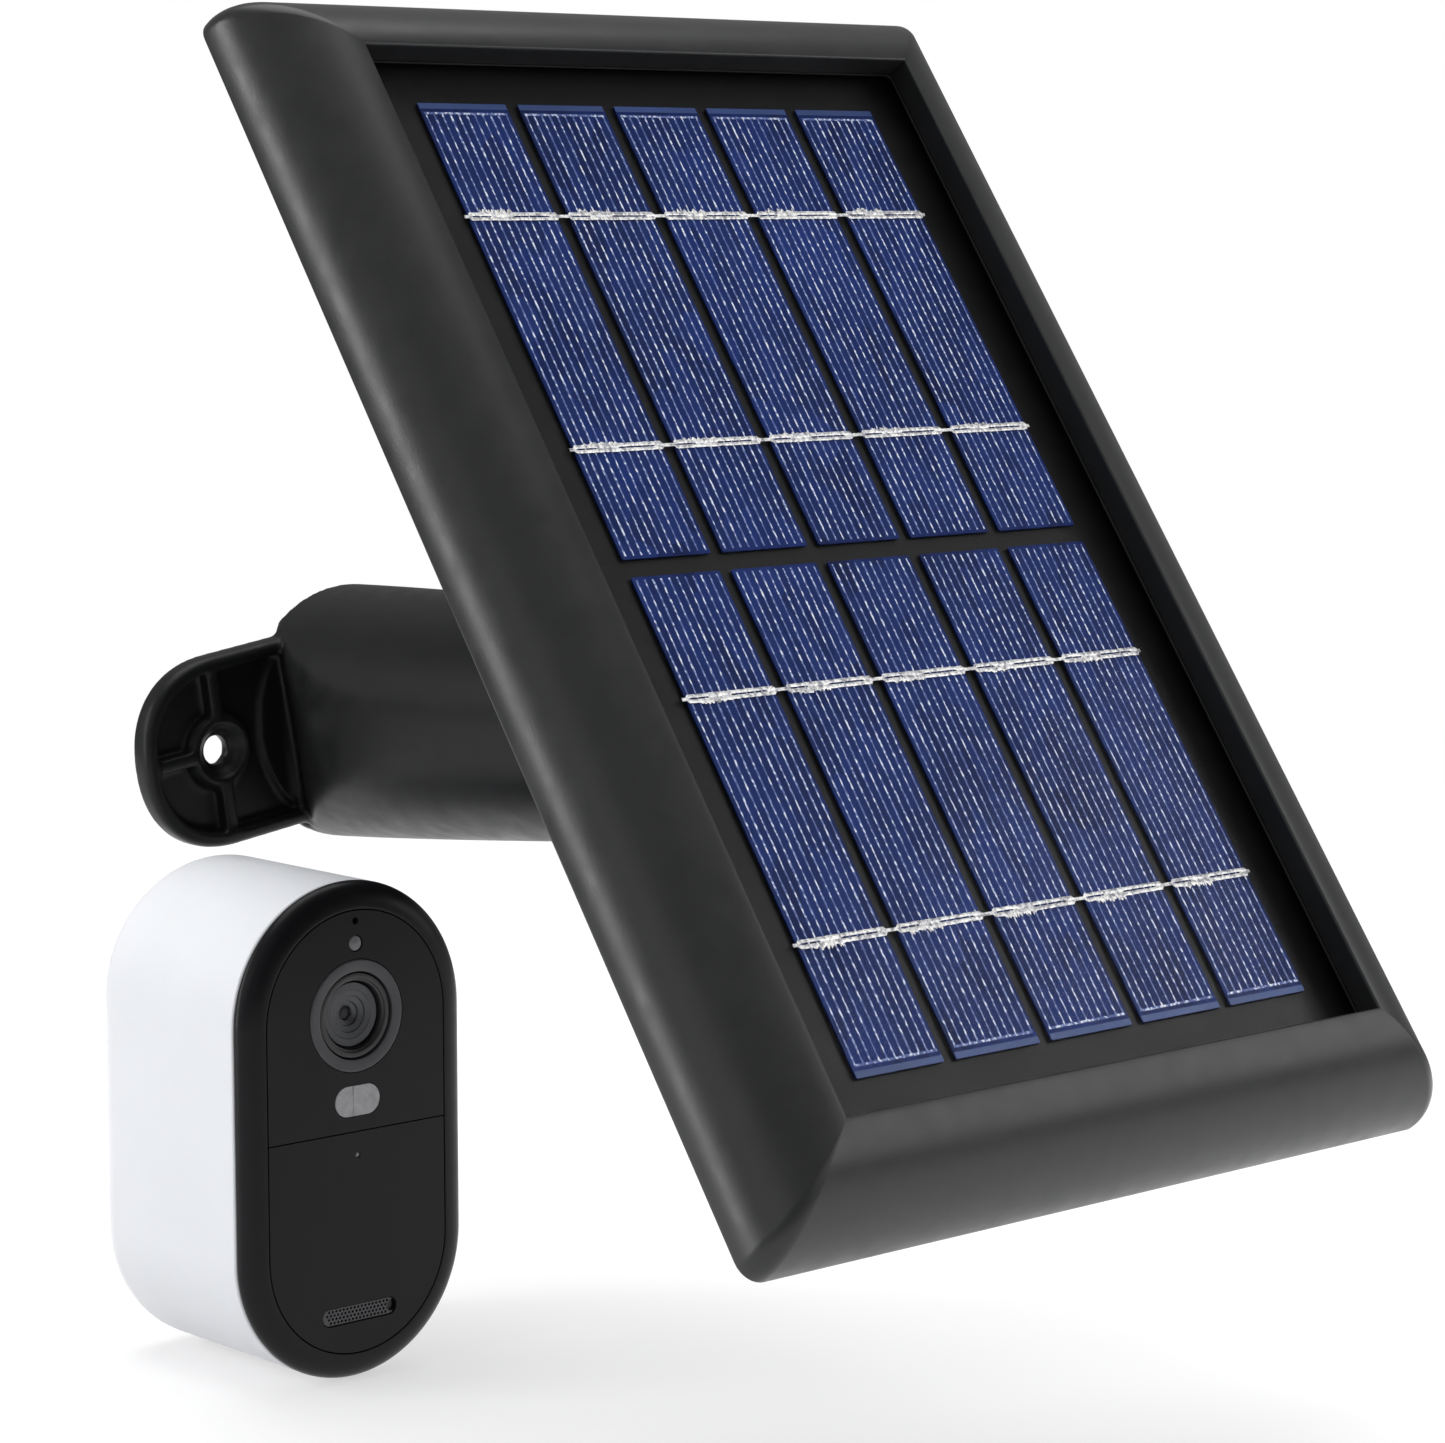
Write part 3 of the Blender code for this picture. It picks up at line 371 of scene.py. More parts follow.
GRILLE_GREY = plain("grille_grey", (0.055, 0.055, 0.060), 0.5, grain=0.15, height=0.008)
STRIP_BLUE = plain("cell_end_blue", (0.032, 0.070, 0.230), 0.4, mottle=0.15)
SILICON = silicon_finish()
FINGER = finger_finish()
SOLDER = solder_finish()
CLEAR = clear_finish("cover_sheet_clear", (0.02, 0.02, 0.02), 0.09)
LENS_COAT = clear_finish("lens_coating", (0.05, 0.05, 0.06), 0.05)
FROST = frosted_finish()


# Meshes. Outlines are lists of (x, y).


def lofted(loops, wrap=False):
    def fill(shape):
        rings = [[shape.verts.new(point) for point in loop] for loop in loops]
        pairs = list(zip(rings, rings[1:]))
        if wrap:
            pairs.append((rings[-1], rings[0]))
        for lower, upper in pairs:
            count = len(lower)
            for i in range(count):
                j = (i + 1) % count
                shape.faces.new((lower[i], lower[j], upper[j], upper[i]))
        if not wrap:
            shape.faces.new(rings[0])
            shape.faces.new(rings[-1])

    return fill


def at_height(outline, z):
    return [(x, y, z) for x, y in outline]


def prism(outline, low, high):
    return lofted([at_height(outline, low), at_height(outline, high)])


def turned(profile, steps=96):
    """Turns a closed profile of (radius, z) about Z. One that starts on the axis gets flat ends."""
    solid = profile[0][0] == 0
    angles = [2 * math.pi * (i + 0.5) / steps for i in range(steps)]
    rings = []
    for radius, z in profile:
        if radius:
            rings.append([(radius * math.cos(a), radius * math.sin(a), z) for a in angles])
    return lofted(rings, wrap=not solid)


def cylinder(radius, low, high, steps=48):
    return turned([(0, low), (radius, low), (radius, high), (0, high)], steps)


def rounded_rectangle(width, height, radius, steps=8):
    points = []
    for side_x, side_y, start in ((1, 1, 0), (-1, 1, 90), (-1, -1, 180), (1, -1, 270)):
        for i in range(steps + 1):
            angle = math.radians(start + 90 * i / steps)
            x = side_x * (width / 2 - radius) + radius * math.cos(angle)
            y = side_y * (height / 2 - radius) + radius * math.sin(angle)
            points.append((x, y))
    return points


def stadium(width, height, steps=32):
    return rounded_rectangle(width, height, min(width, height) / 2 - 0.001, steps)


def polygon(radius, sides):
    angles = [2 * math.pi * i / sides for i in range(sides)]
    return [(radius * math.cos(angle), radius * math.sin(angle)) for angle in angles]


def shifted(fill, x=0.0, y=0.0, z=0.0):
    def moved(shape):
        fill(shape)
        bmesh.ops.translate(shape, vec=(x, y, z), verts=shape.verts)

    return moved


def mesh_of(name, fill, place, sharp=35.0):
    shape = bmesh.new()
    fill(shape)
    bmesh.ops.recalc_face_normals(shape, faces=shape.faces)
    shape.transform(place @ Matrix.Scale(MM, 4))
    mesh = bpy.data.meshes.new(name)
    shape.to_mesh(mesh)
    shape.free()
    mesh.shade_smooth()
    mesh.set_sharp_from_angle(angle=math.radians(sharp))
    return mesh


def new_object(name, mesh, finish=None):
    made = bpy.data.objects.new(name, mesh)
    bpy.context.scene.collection.objects.link(made)
    if finish:
        mesh.materials.append(finish)
    return made


def declare(made, nodes):
    """The piece rides on the body of the CAD nodes that it stands for."""
    body = frame["nodes"][nodes[0]]["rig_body"]
    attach(made, body)
    return made


def piece(name, fill, place, finish, nodes, cutters=(), edge=0.0, hides=True, sharp=35.0):
    """A finished piece. Cutters are cut out of it, and edge is the width of its rounded edges."""
    made = new_object(name, mesh_of(name, fill, place, sharp), finish)
    carve(made, "DIFFERENCE", place, *cutters)
    if edge:
        round_edges(made, edge)
    even_normals(made, sharp)
    declare(made, nodes)
    if hides:
        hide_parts(*nodes)
    return made


def carve(made, operation, place, *fills):
    """Joins fills to a piece, or cuts them out of it."""
    for fill in fills:
        tool = new_object("tool", mesh_of("tool", fill, place))
        step = made.modifiers.new("carve", "BOOLEAN")
        step.operation = operation
        step.object = tool
        apply_modifiers(made)
        bpy.data.objects.remove(tool, do_unlink=True)


def even_normals(made, sharp):
    """Smooth shading that keeps flat faces flat and edges sharper than this many degrees crisp."""
    made.data.shade_smooth()
    made.data.set_sharp_from_angle(angle=math.radians(sharp))
    weighted = made.modifiers.new("even", "WEIGHTED_NORMAL")
    weighted.keep_sharp = True


def round_edges(made, width, segments=3):
    bevel = made.modifiers.new("edge", "BEVEL")
    bevel.width = width * MM
    bevel.segments = segments
    bevel.limit_method = "ANGLE"
    bevel.angle_limit = math.radians(32)
    apply_modifiers(made)


def apply_modifiers(made):
    bpy.context.view_layer.update()
    graph = bpy.context.evaluated_depsgraph_get()
    mesh = bpy.data.meshes.new_from_object(made.evaluated_get(graph))
    made.modifiers.clear()
    made.data = mesh


def cad_copy(name, node):
    shape = bmesh.new()
    shape.from_mesh(frame["nodes"][node].data)
    bmesh.ops.remove_doubles(shape, verts=shape.verts, dist=0.002 * MM)
    mesh = bpy.data.meshes.new(name)
    shape.to_mesh(mesh)
    shape.free()
    return new_object(name, mesh)


def moulded(made, node, finish, voxel, relax, keep):
    """Gives a piece the soft edges of a moulding: rebuilt from small voxels, relaxed and thinned out."""
    remesh = made.modifiers.new("voxels", "REMESH")
    remesh.mode = "VOXEL"
    remesh.voxel_size = voxel * MM
    smooth = made.modifiers.new("relax", "SMOOTH")
    smooth.factor = 0.5
    smooth.iterations = relax
    thin = made.modifiers.new("thin", "DECIMATE")
    thin.ratio = keep
    apply_modifiers(made)
    made.data.materials.clear()
    made.data.materials.append(finish)
    made.data.shade_smooth()
    declare(made, [node])
    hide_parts(node)
    return made


def repaint(finish, *nodes):
    for node in nodes:
        mesh = frame["nodes"][node].data
        mesh.materials.clear()
        mesh.materials.append(finish)


# Solar panel


def panel_z(behind_lip):
    return LIP_STANDOFF - behind_lip


def frame_loop(off, behind, corner, steps=8):
    width = FRAME_W - 2 * BEZEL + 2 * off
    height = FRAME_H - 2 * BEZEL + 2 * off
    return at_height(rounded_rectangle(width, height, max(corner, 0.04), steps), panel_z(behind))


def bezel_curve(start, width, drop, steps):
    """(off, behind) points of the bulging bezel, from its lip to its outer edge."""
    points = []
    for i in range(steps + 1):
        angle = 0.5 * math.pi * i / steps
        off = start + width * math.sin(angle) ** (2 / BEZEL_POWER)
        rise = drop * math.cos(angle) ** (2 / BEZEL_POWER)
        points.append((off, BEZEL_DROP - rise))
    return points


def build_front_frame():
    profile = [(0.0, 0.45), (0.03, 0.25), (0.12, 0.08)]
    profile += bezel_curve(0.3, BEZEL - 0.3, BEZEL_DROP, 30)
    edge = COVER_TOP - GAP
    profile += [(BEZEL, edge - 0.2), (BEZEL - 0.2, edge), (BEZEL - FRAME_WALL, edge)]
    profile += bezel_curve(FRAME_WALL, BEZEL - 2 * FRAME_WALL, BEZEL_DROP - FRAME_WALL, 8)[::-1]
    profile += [(FRAME_WALL, RECESS_WALL), (0.15, RECESS_WALL), (0.0, RECESS_WALL - 0.15)]
    loops = [frame_loop(off, behind, BEZEL_CORNER_R * (off / BEZEL) ** 1.5) for off, behind in profile]
    piece("frame_moulding", lofted(loops, wrap=True), PANEL, CHARCOAL, ["front_frame"], sharp=50)


def cell_boxes():
    """(left, bottom, right, top) of each cell, in the panel's plane."""
    back = PANEL.inverted()
    boxes = []
    for number in range(1, 2 * CELL_COLUMNS + 1):
        mesh = frame["nodes"][f"solar_cell_{number:02d}"].data
        points = [back @ vert.co / MM for vert in mesh.vertices]
        xs = [point.x for point in points]
        ys = [point.y for point in points]
        boxes.append((min(xs), min(ys), max(xs), max(ys)))
    return boxes


def flat_strip(shape, left, bottom, right, top, z):
    corners = [(left, bottom, z), (right, bottom, z), (right, top, z), (left, top, z)]
    shape.faces.new([shape.verts.new(corner) for corner in corners])


def build_cell_print():
    """The silver lines that are printed along each cell, and the pale strip at its outer end."""
    cells = cell_boxes()
    z = panel_z(CELL_TOP - 0.03)
    rng = random.Random(7)

    def fingers(shape):
        for left, bottom, right, top in cells:
            outer = 1 if bottom + top > 0 else -1
            start, end = (top - 2.0, bottom + 0.5) if outer > 0 else (bottom + 2.0, top - 0.5)
            pitch = (right - left - 1.5) / (FINGERS - 1)
            for i in range(FINGERS):
                x = left + 0.75 + i * pitch
                steps = 60
                sides = []
                for k in range(steps + 1):
                    y = start + (end - start) * k / steps
                    half = FINGER_WIDTH / 2 * rng.uniform(0.7, 1.25)
                    sides.append((shape.verts.new((x - half, y, z)), shape.verts.new((x + half, y, z))))
                for (a, b), (c, d) in zip(sides, sides[1:]):
                    shape.faces.new((a, b, d, c))
            inner = start - outer * 0.05
            edge = start + outer * 0.32
            flat_strip(shape, left + 0.5, min(inner, edge), right - 0.5, max(inner, edge), z)

    def end_strips(shape):
        for left, bottom, right, top in cells:
            low, high = (top - 1.05, top - 0.05) if bottom + top > 0 else (bottom + 0.05, bottom + 1.05)
            flat_strip(shape, left + 0.05, low, right - 0.05, high, z)

    piece("cell_finger_print", fingers, PANEL, FINGER, ["solar_cell_01"], hides=False)
    piece("cell_end_strips", end_strips, PANEL, STRIP_BLUE, ["solar_cell_01"], hides=False)


def build_ribbons():
    """Hand-soldered ribbons: two ragged bands, with a dark gap between them on part of each cell."""
    cells = cell_boxes()
    back = PANEL.inverted()
    lumps = (1.0, 0.55, 0.55, 1.0)
    for number, lump in enumerate(lumps, 1):
        rng = random.Random(40 + number)
        node = f"tabbing_ribbon_{number}"
        middle = back @ box_centre(node) / MM
        left = cells[0][0] - 0.9
        right = cells[CELL_COLUMNS - 1][2] + 0.6
        pitch = cells[1][0] - cells[0][0]
        width = cells[0][2] - cells[0][0]

        def fill(shape):
            lanes = []
            x = left
            while x < right:
                along = ((x - cells[0][0]) % pitch) / width
                over_gap = along > 1.0
                spiky = 0.12 < along < 0.5
                top = 0.66 + 0.10 * rng.random()
                top += lump * rng.choice((0.0, 0.25, 0.6)) if spiky else 0.0
                split = 0.16 if 0.03 < along < 0.24 or 0.5 < along < 0.9 else 0.0
                low = -0.66 - 0.10 * rng.random()
                if over_gap:
                    low, top = -0.3, 0.25
                lane = (low, -split, split * 0.6, top)
                if number > 2:
                    lane = [-edge for edge in lane[::-1]]
                lanes.append((x, *lane))
                x += 0.24 if spiky else 0.4
            for low_lane, high_lane in ((1, 2), (3, 4)):
                build_band(shape, lanes, low_lane, high_lane, rng, middle.y)

        piece(f"solder_ribbon_{number}", fill, PANEL, SOLDER, [node], sharp=80)


def build_band(shape, lanes, low_lane, high_lane, rng, at_y):
    """A raised band with rounded sides between two lanes of the ribbon's edge points."""
    base = panel_z(RIBBON_TOP + 0.15)
    rings = []
    for lane in lanes:
        x, low, high = lane[0], at_y + lane[low_lane], at_y + lane[high_lane]
        crest = panel_z(RIBBON_TOP + 0.03) - 0.07 * rng.random()
        quarter = (high - low) / 4
        ring = [(x, low, base), (x, low + quarter, crest), (x, high - quarter, crest), (x, high, base)]
        rings.append([shape.verts.new(point) for point in ring])
    for first, second in zip(rings, rings[1:]):
        for i in range(4):
            j = (i + 1) % 4
            shape.faces.new((first[i], first[j], second[j], second[i]))
    shape.faces.new(rings[0])
    shape.faces.new(rings[-1])


def build_back_cover():
    steps = [(15.4, 23.0), (13.2, 15.6), (3.4, 15.6), (3.2, 15.8), (3.2, 17.4)]
    steps += [(3.4, 17.6), (10.8, 17.6), (11.2, 17.8), (11.5, 18.4)]
    steps += [(13.6, 23.6), (13.9, 24.3), (14.5, 24.8), (15.2, 25.0)]
    loops = [frame_loop(BEZEL - inset, behind, 5.0) for inset, behind in steps]
    screws = [place_of(f"cover_screw_{i}") for i in range(1, 5)]
    holes = [shifted(cylinder(1.5, panel_z(18.5), panel_z(13), 24), at.x, at.y) for at in screws]
    gland = place_of("cable_gland")
    holes.append(shifted(cylinder(5.3, panel_z(26), panel_z(20)), gland.x, gland.y))
    for at in [place_of(f"hub_screw_{i}") for i in range(1, 5)]:
        holes.append(shifted(cylinder(1.5, panel_z(26), panel_z(22), 24), at.x, at.y))
    piece("back_shell", lofted(loops), PANEL, BACK_BLACK, ["back_cover"], cutters=holes)


def place_of(node):
    """A node's centre in the panel's frame, in millimetres."""
    return PANEL.inverted() @ box_centre(node) / MM


def screw_fill(length, radius=2.5):
    """A pan-head screw that points along +Z, with its head's seat at 0."""
    profile = [(0, -1.75), (0.9, -1.75), (1.6, -1.6), (2.15, -1.25)]
    profile += [(radius, -0.55), (radius, 0), (1.2, 0)]
    turns = 7
    for i in range(turns):
        z = 0.8 + i * (length - 2) / turns
        profile += [(1.2, z - 0.3), (1.45, z), (1.2, z + 0.3)]
    return turned(profile + [(1.1, length - 1), (0.3, length), (0, length)], 32)


def cross_recess():
    arms = []
    for width, height in ((0.62, 2.6), (2.6, 0.62)):
        arms.append(prism(rounded_rectangle(width, height, 0.1, 2), -3, -1.0))
    return arms


def build_screws():
    back = PANEL.inverted()
    for kind, length in (("cover_screw", 9.0), ("hub_screw", 9.8)):
        for number in range(1, 5):
            node = f"{kind}_{number}"
            points = [back @ vert.co / MM for vert in frame["nodes"][node].data.vertices]
            seat = min(point.z for point in points) + 1.8
            at = place_of(node)
            place = PANEL @ Matrix.Translation(Vector((at.x, at.y, seat)) * MM)
            place = place @ Matrix.Rotation(math.radians(23 * number), 4, "Z")
            screw = screw_fill(length)
            piece(f"{kind}_head_{number}", screw, place, STEEL, [node], cutters=cross_recess())


def build_gland():
    back = panel_z(COVER_BACK)
    profile = [(2.7, back + 3.5), (5.0, back + 3.5), (5.0, back - GAP), (7.8, back - GAP)]
    profile += [(8.0, back - 0.6), (8.0, back - 2.5), (7.7, back - 2.8), (6.0, back - 3.3)]
    for i in range(4):
        z = back - 4.2 - 1.4 * i
        outer = 5.7 - 0.2 * i
        inner = 5.1 - 0.2 * i
        profile += [(outer, z), (outer, z - 0.5), (inner, z - 0.65), (inner, z - 1.15)]
    profile += [(4.6, back - 9.7), (4.3, back - 10.0), (2.9, back - 10.0), (2.7, back - 9.8)]
    at = place_of("cable_gland")
    piece("gland_boot", shifted(turned(profile, 64), at.x, at.y), PANEL, RUBBER, ["cable_gland"])


def build_panel():
    build_front_frame()
    build_cell_print()
    build_ribbons()
    build_back_cover()
    build_screws()
    build_gland()
    moulded(cad_copy("hub_moulding", "panel_hub"), "panel_hub", ARM_BLACK, 0.35, 5, 0.35)
    repaint(SILICON, *[f"solar_cell_{i:02d}" for i in range(1, 2 * CELL_COLUMNS + 1)])
    repaint(CLEAR, "cover_sheet")
    repaint(BOARD_BLACK, "cell_backing_board")
    repaint(RUBBER, "laminate_seal", "housing_seal")
    repaint(CIRCUIT, "charge_board", "image_sensor_board", "main_board")


# Wall plate and arm


def plate_loop(inset, z, steps=24):
    radius = PLATE_END_R - inset
    points = []
    for side_x, side_y, start in ((1, 1, 0), (-1, 1, 90), (-1, -1, 180), (1, -1, 270)):
        for i in range(steps + 1):
            angle = math.radians(start + 90 * i / steps)
            across = abs(math.cos(angle)) ** (2 / PLATE_POWER)
            up = abs(math.sin(angle)) ** (2 / PLATE_POWER)
            x = side_x * (PLATE_HALF_SPAN + radius * across)
            points.append((x, side_y * (0.001 + radius * up), z))
    return points


def blended_least(first, second, width):
    """The lesser of two lengths, rounded over where they are close."""
    nearness = max(width - abs(first - second), 0) / width
    return min(first, second) - nearness * nearness * width / 4


def housing_radius(along):
    taper = (max(along, 0) / HOUSING_END) ** HOUSING_POWER
    edge = max(along - HOUSING_END + HOUSING_EDGE, 0)
    return HOUSING_BASE_R - (HOUSING_BASE_R - HOUSING_END_R) * taper - edge


def housing_loop(along, steps=288):
    """One section of the arm housing. Beyond the plate's floor a channel is let into each side."""
    wall = housing_radius(along)
    far, added = CHANNEL_HALF_ANGLE
    half_angle = math.radians(far + added * math.exp((CHANNEL_START - along) / CHANNEL_FADE))
    reach = wall * math.sin(half_angle)
    centre = wall * math.cos(half_angle) + math.sqrt(CHANNEL_R**2 - reach**2)
    fillet = min(max(FOOT_TOP + CHANNEL_FILLET - along, 0), CHANNEL_FILLET)
    centre += CHANNEL_FILLET - math.sqrt(CHANNEL_FILLET**2 - fillet**2)
    blend = min(CHANNEL_BLEND, 1.5 * (wall - centre + CHANNEL_R))
    points = []
    for i in range(steps):
        angle = 2 * math.pi * i / steps
        across = centre * abs(math.sin(angle))
        radius = wall
        if across < CHANNEL_R and along > 0.5:
            channel = centre * abs(math.cos(angle)) - math.sqrt(CHANNEL_R**2 - across**2)
            radius = blended_least(wall, channel, blend)
        angle += math.radians(PLATE_TURN)
        points.append((radius * math.cos(angle), radius * math.sin(angle), along))
    return points


def plate_details():
    """The screw bosses, the ribs through them and the ledge round the arm's foot."""
    details = [cylinder(FOOT_R, FOOT_BASE, FOOT_TOP, 192)]
    for side in (-1, 1):
        x = side * SCREW_REACH
        details.append(shifted(cylinder(BOSS_FOOT_R, 0.6, BOSS_FOOT_TOP, 64), x))
        details.append(shifted(cylinder(BOSS_R, 0.5, BOSS_TOP, 64), x))
        end = side * (PLATE_HALF_SPAN + PLATE_END_R - 1)
        rib = [(x, -RIB_HALF), (end, -RIB_HALF), (end, RIB_HALF), (x, RIB_HALF)]
        details.append(prism(rib, 0.55, RIB_TOP))
        details.append(shifted(prism(rounded_rectangle(2 * RIB_HALF, 30, 0.1, 1), 0.45, 4.2), x))
    return details


def build_wall_moulding():
    dish = [plate_loop(0.5, -1.0), plate_loop(0.5, 0.05), plate_loop(0, 0.8)]
    for i in range(7):
        angle = math.radians(15 * i)
        inset = RIM_ROUND * (1 - math.cos(angle))
        dish.append(plate_loop(inset, RIM_TOP - RIM_ROUND * (1 - math.sin(angle))))
    dish += [plate_loop(RIM_WIDTH, RIM_TOP), plate_loop(RIM_WIDTH + 0.3, FLOOR_TOP)]
    made = new_object("wall_moulding", mesh_of("wall_moulding", lofted(dish), PLATE))
    sections = [-2.0, 0.4, FOOT_BASE, FOOT_TOP]
    sections += [FOOT_TOP + 0.2 * i for i in range(1, 20)]
    sections += [6.4 + 0.58 * i for i in range(20)]
    sections += [18.0 + 2.3 * i for i in range(1, 23)]
    sections += [HOUSING_END - HOUSING_EDGE, HOUSING_END]
    core = [(0, CORE_START), (CORE_R, CORE_START), (CORE_R, JOURNAL_START)]
    core += [(JOURNAL_BORE_R, JOURNAL_START), (JOURNAL_BORE_R, 73), (0, 73)]
    carve(made, "UNION", PLATE, *plate_details())
    carve(made, "UNION", ARM, lofted([housing_loop(along) for along in sections]))
    carve(made, "DIFFERENCE", PLATE, prism(rounded_rectangle(120, 80, 5), -20, 0))
    for side in (-1, 1):
        carve(made, "DIFFERENCE", PLATE, shifted(turned(SCREW_HOLE, 64), side * SCREW_REACH))
    carve(made, "DIFFERENCE", ARM, turned(core))
    down = ARM @ Matrix.Translation(Vector((0, 0, GROOVE_MIDDLE)) * MM)
    down = down @ Matrix.Rotation(math.radians(-90), 4, "X")
    carve(made, "DIFFERENCE", down, cylinder(2.3, -25, -12))
    moulded(made, "wall_base", ARM_BLACK, 0.4, 8, 0.35)


def build_neck():
    shaft = JOURNAL_BORE_R - GAP
    groove = [(shaft, 58.6), (shaft - 2, 58.6), (shaft - 2, 63.4), (shaft, 63.4)]
    profile = [(0, 53.9), (shaft - 1, 53.9), (shaft, 54.9), *groove, (shaft, 72.3)]
    profile += [(shaft - 0.6, 73.2), (12.5, NECK_TOP), (0, NECK_TOP)]
    made = new_object("neck_moulding", mesh_of("neck_moulding", turned(profile, 160), ARM))
    base = -13.3
    side_view = [(-KNUCKLE_R, base), (KNUCKLE_R, base)]
    for i in range(49):
        angle = math.pi * i / 48
        side_view.append((KNUCKLE_R * math.cos(angle), KNUCKLE_R * math.sin(angle)))
    tongue = lofted([[(x, y, z) for y, z in side_view] for x in (-KNUCKLE_HALF, KNUCKLE_HALF)])
    carve(made, "UNION", TONGUE, tongue)
    carve(made, "DIFFERENCE", TONGUE @ Matrix.Rotation(math.radians(90), 4, "Y"), cylinder(3.3, -10, 10))
    moulded(made, "swivel_neck", ARM_BLACK, 0.35, 5, 0.35)


def build_arm():
    build_wall_moulding()
    build_neck()
    repaint(NYLON, "swivel_friction_ring")
    repaint(STEEL, "swivel_set_screw", "microphone", "charging_port")
    build_tilt_bolt()


def build_tilt_bolt():
    across = TONGUE @ Matrix.Rotation(math.radians(90), 4, "Y")
    washer_out = KNUCKLE_HALF + GAP + EAR_THICKNESS + GAP + WASHER_THICKNESS
    seat = -washer_out - GAP
    end = washer_out + 7.5
    profile = [(0, seat - 4.0), (4.4, seat - 4.0), (5.0, seat - 3.7), (5.2, seat - 3.1)]
    profile += [(5.2, seat - 0.2), (5.0, seat), (BOLT_R, seat), (BOLT_R, 9.0)]
    z = 9.0
    while z < end - 1.4:
        profile += [(2.55, z + 0.25), (BOLT_R, z + 0.75)]
        z += 1.0
    profile += [(2.4, end), (0, end)]
    socket = prism(polygon(2.9, 6), seat - 5, seat - 1.6)
    piece("tilt_bolt_steel", turned(profile, 64), across, STEEL, ["tilt_bolt"], cutters=[socket])
    for name, side in (("left", -1), ("right", 1)):
        low, high = sorted((side * (washer_out - WASHER_THICKNESS), side * washer_out))
        ring = [(3.3, low), (6.8, low), (7.0, low + 0.2), (7.0, high - 0.2), (6.8, high), (3.3, high)]
        piece(f"tilt_washer_{name}_steel", turned(ring, 64), across, STEEL, [f"tilt_washer_{name}"])
    low, high = washer_out + GAP, washer_out + GAP + 5.0
    crown = [(3.25, low), (5.1, low), (5.8, low + 0.5), (5.8, high - 0.5), (5.1, high), (3.25, high)]
    flats = []
    for i in range(6):
        turn = Matrix.Rotation(math.radians(60 * i + 30), 4, "Z")
        block = prism(rounded_rectangle(4, 12, 0.1, 1), low - 1, high + 1)
        flats.append(placed(shifted(block, 5.02 + 2), turn))
    piece("tilt_nut_steel", turned(crown, 96), across, STEEL, ["tilt_nut"], cutters=flats)


def placed(fill, matrix):
    def moved(shape):
        fill(shape)
        shape.transform(matrix)

    return moved


# Camera unit


def unit_loop(inset, z, steps=32):
    return at_height(stadium(UNIT_W - 2 * inset, UNIT_H - 2 * inset, steps), z)


def build_body_shell():
    back = -UNIT_DEPTH
    floor = back + UNIT_WALL
    loops = [unit_loop(UNIT_WALL + 3.2, floor), unit_loop(UNIT_WALL + 0.6, floor + 1.8)]
    loops += [unit_loop(UNIT_WALL, floor + 4.5), unit_loop(UNIT_WALL, -0.15), unit_loop(0.6, -0.15)]
    loops += [unit_loop(0.3, -0.22), unit_loop(0.1, -0.42), unit_loop(0, -0.75)]
    steps = 14
    for i in range(steps + 1):
        angle = 0.5 * math.pi * i / steps
        inset = UNIT_ROUND * (1 - math.cos(angle))
        loops.append(unit_loop(inset, back + UNIT_ROUND * (1 - math.sin(angle))))
    holes = [shifted(cylinder(3.3, back - 1, back + 4), y=BUTTON_Y)]
    holes.append(shifted(cylinder(5.8, back - 1, back + 4), y=SOCKET_Y))
    holes.append(shifted(prism(rounded_rectangle(14, 8, 1.0), back - 1, back + 4), y=PORT_Y))
    piece("body_shell", lofted(loops), UNIT, WHITE, ["rear_housing"], cutters=holes)
    seat = prism(rounded_rectangle(17, 11, 2.0), back + 2.3, back + 3.3)
    slot = shifted(prism(rounded_rectangle(9.2, 4.0, 1.0), back, back + 5), y=PORT_Y + 0.4)
    port = shifted(seat, y=PORT_Y)
    piece("port_floor", port, UNIT, DEEP_BLACK, ["rear_housing"], [slot], hides=False)


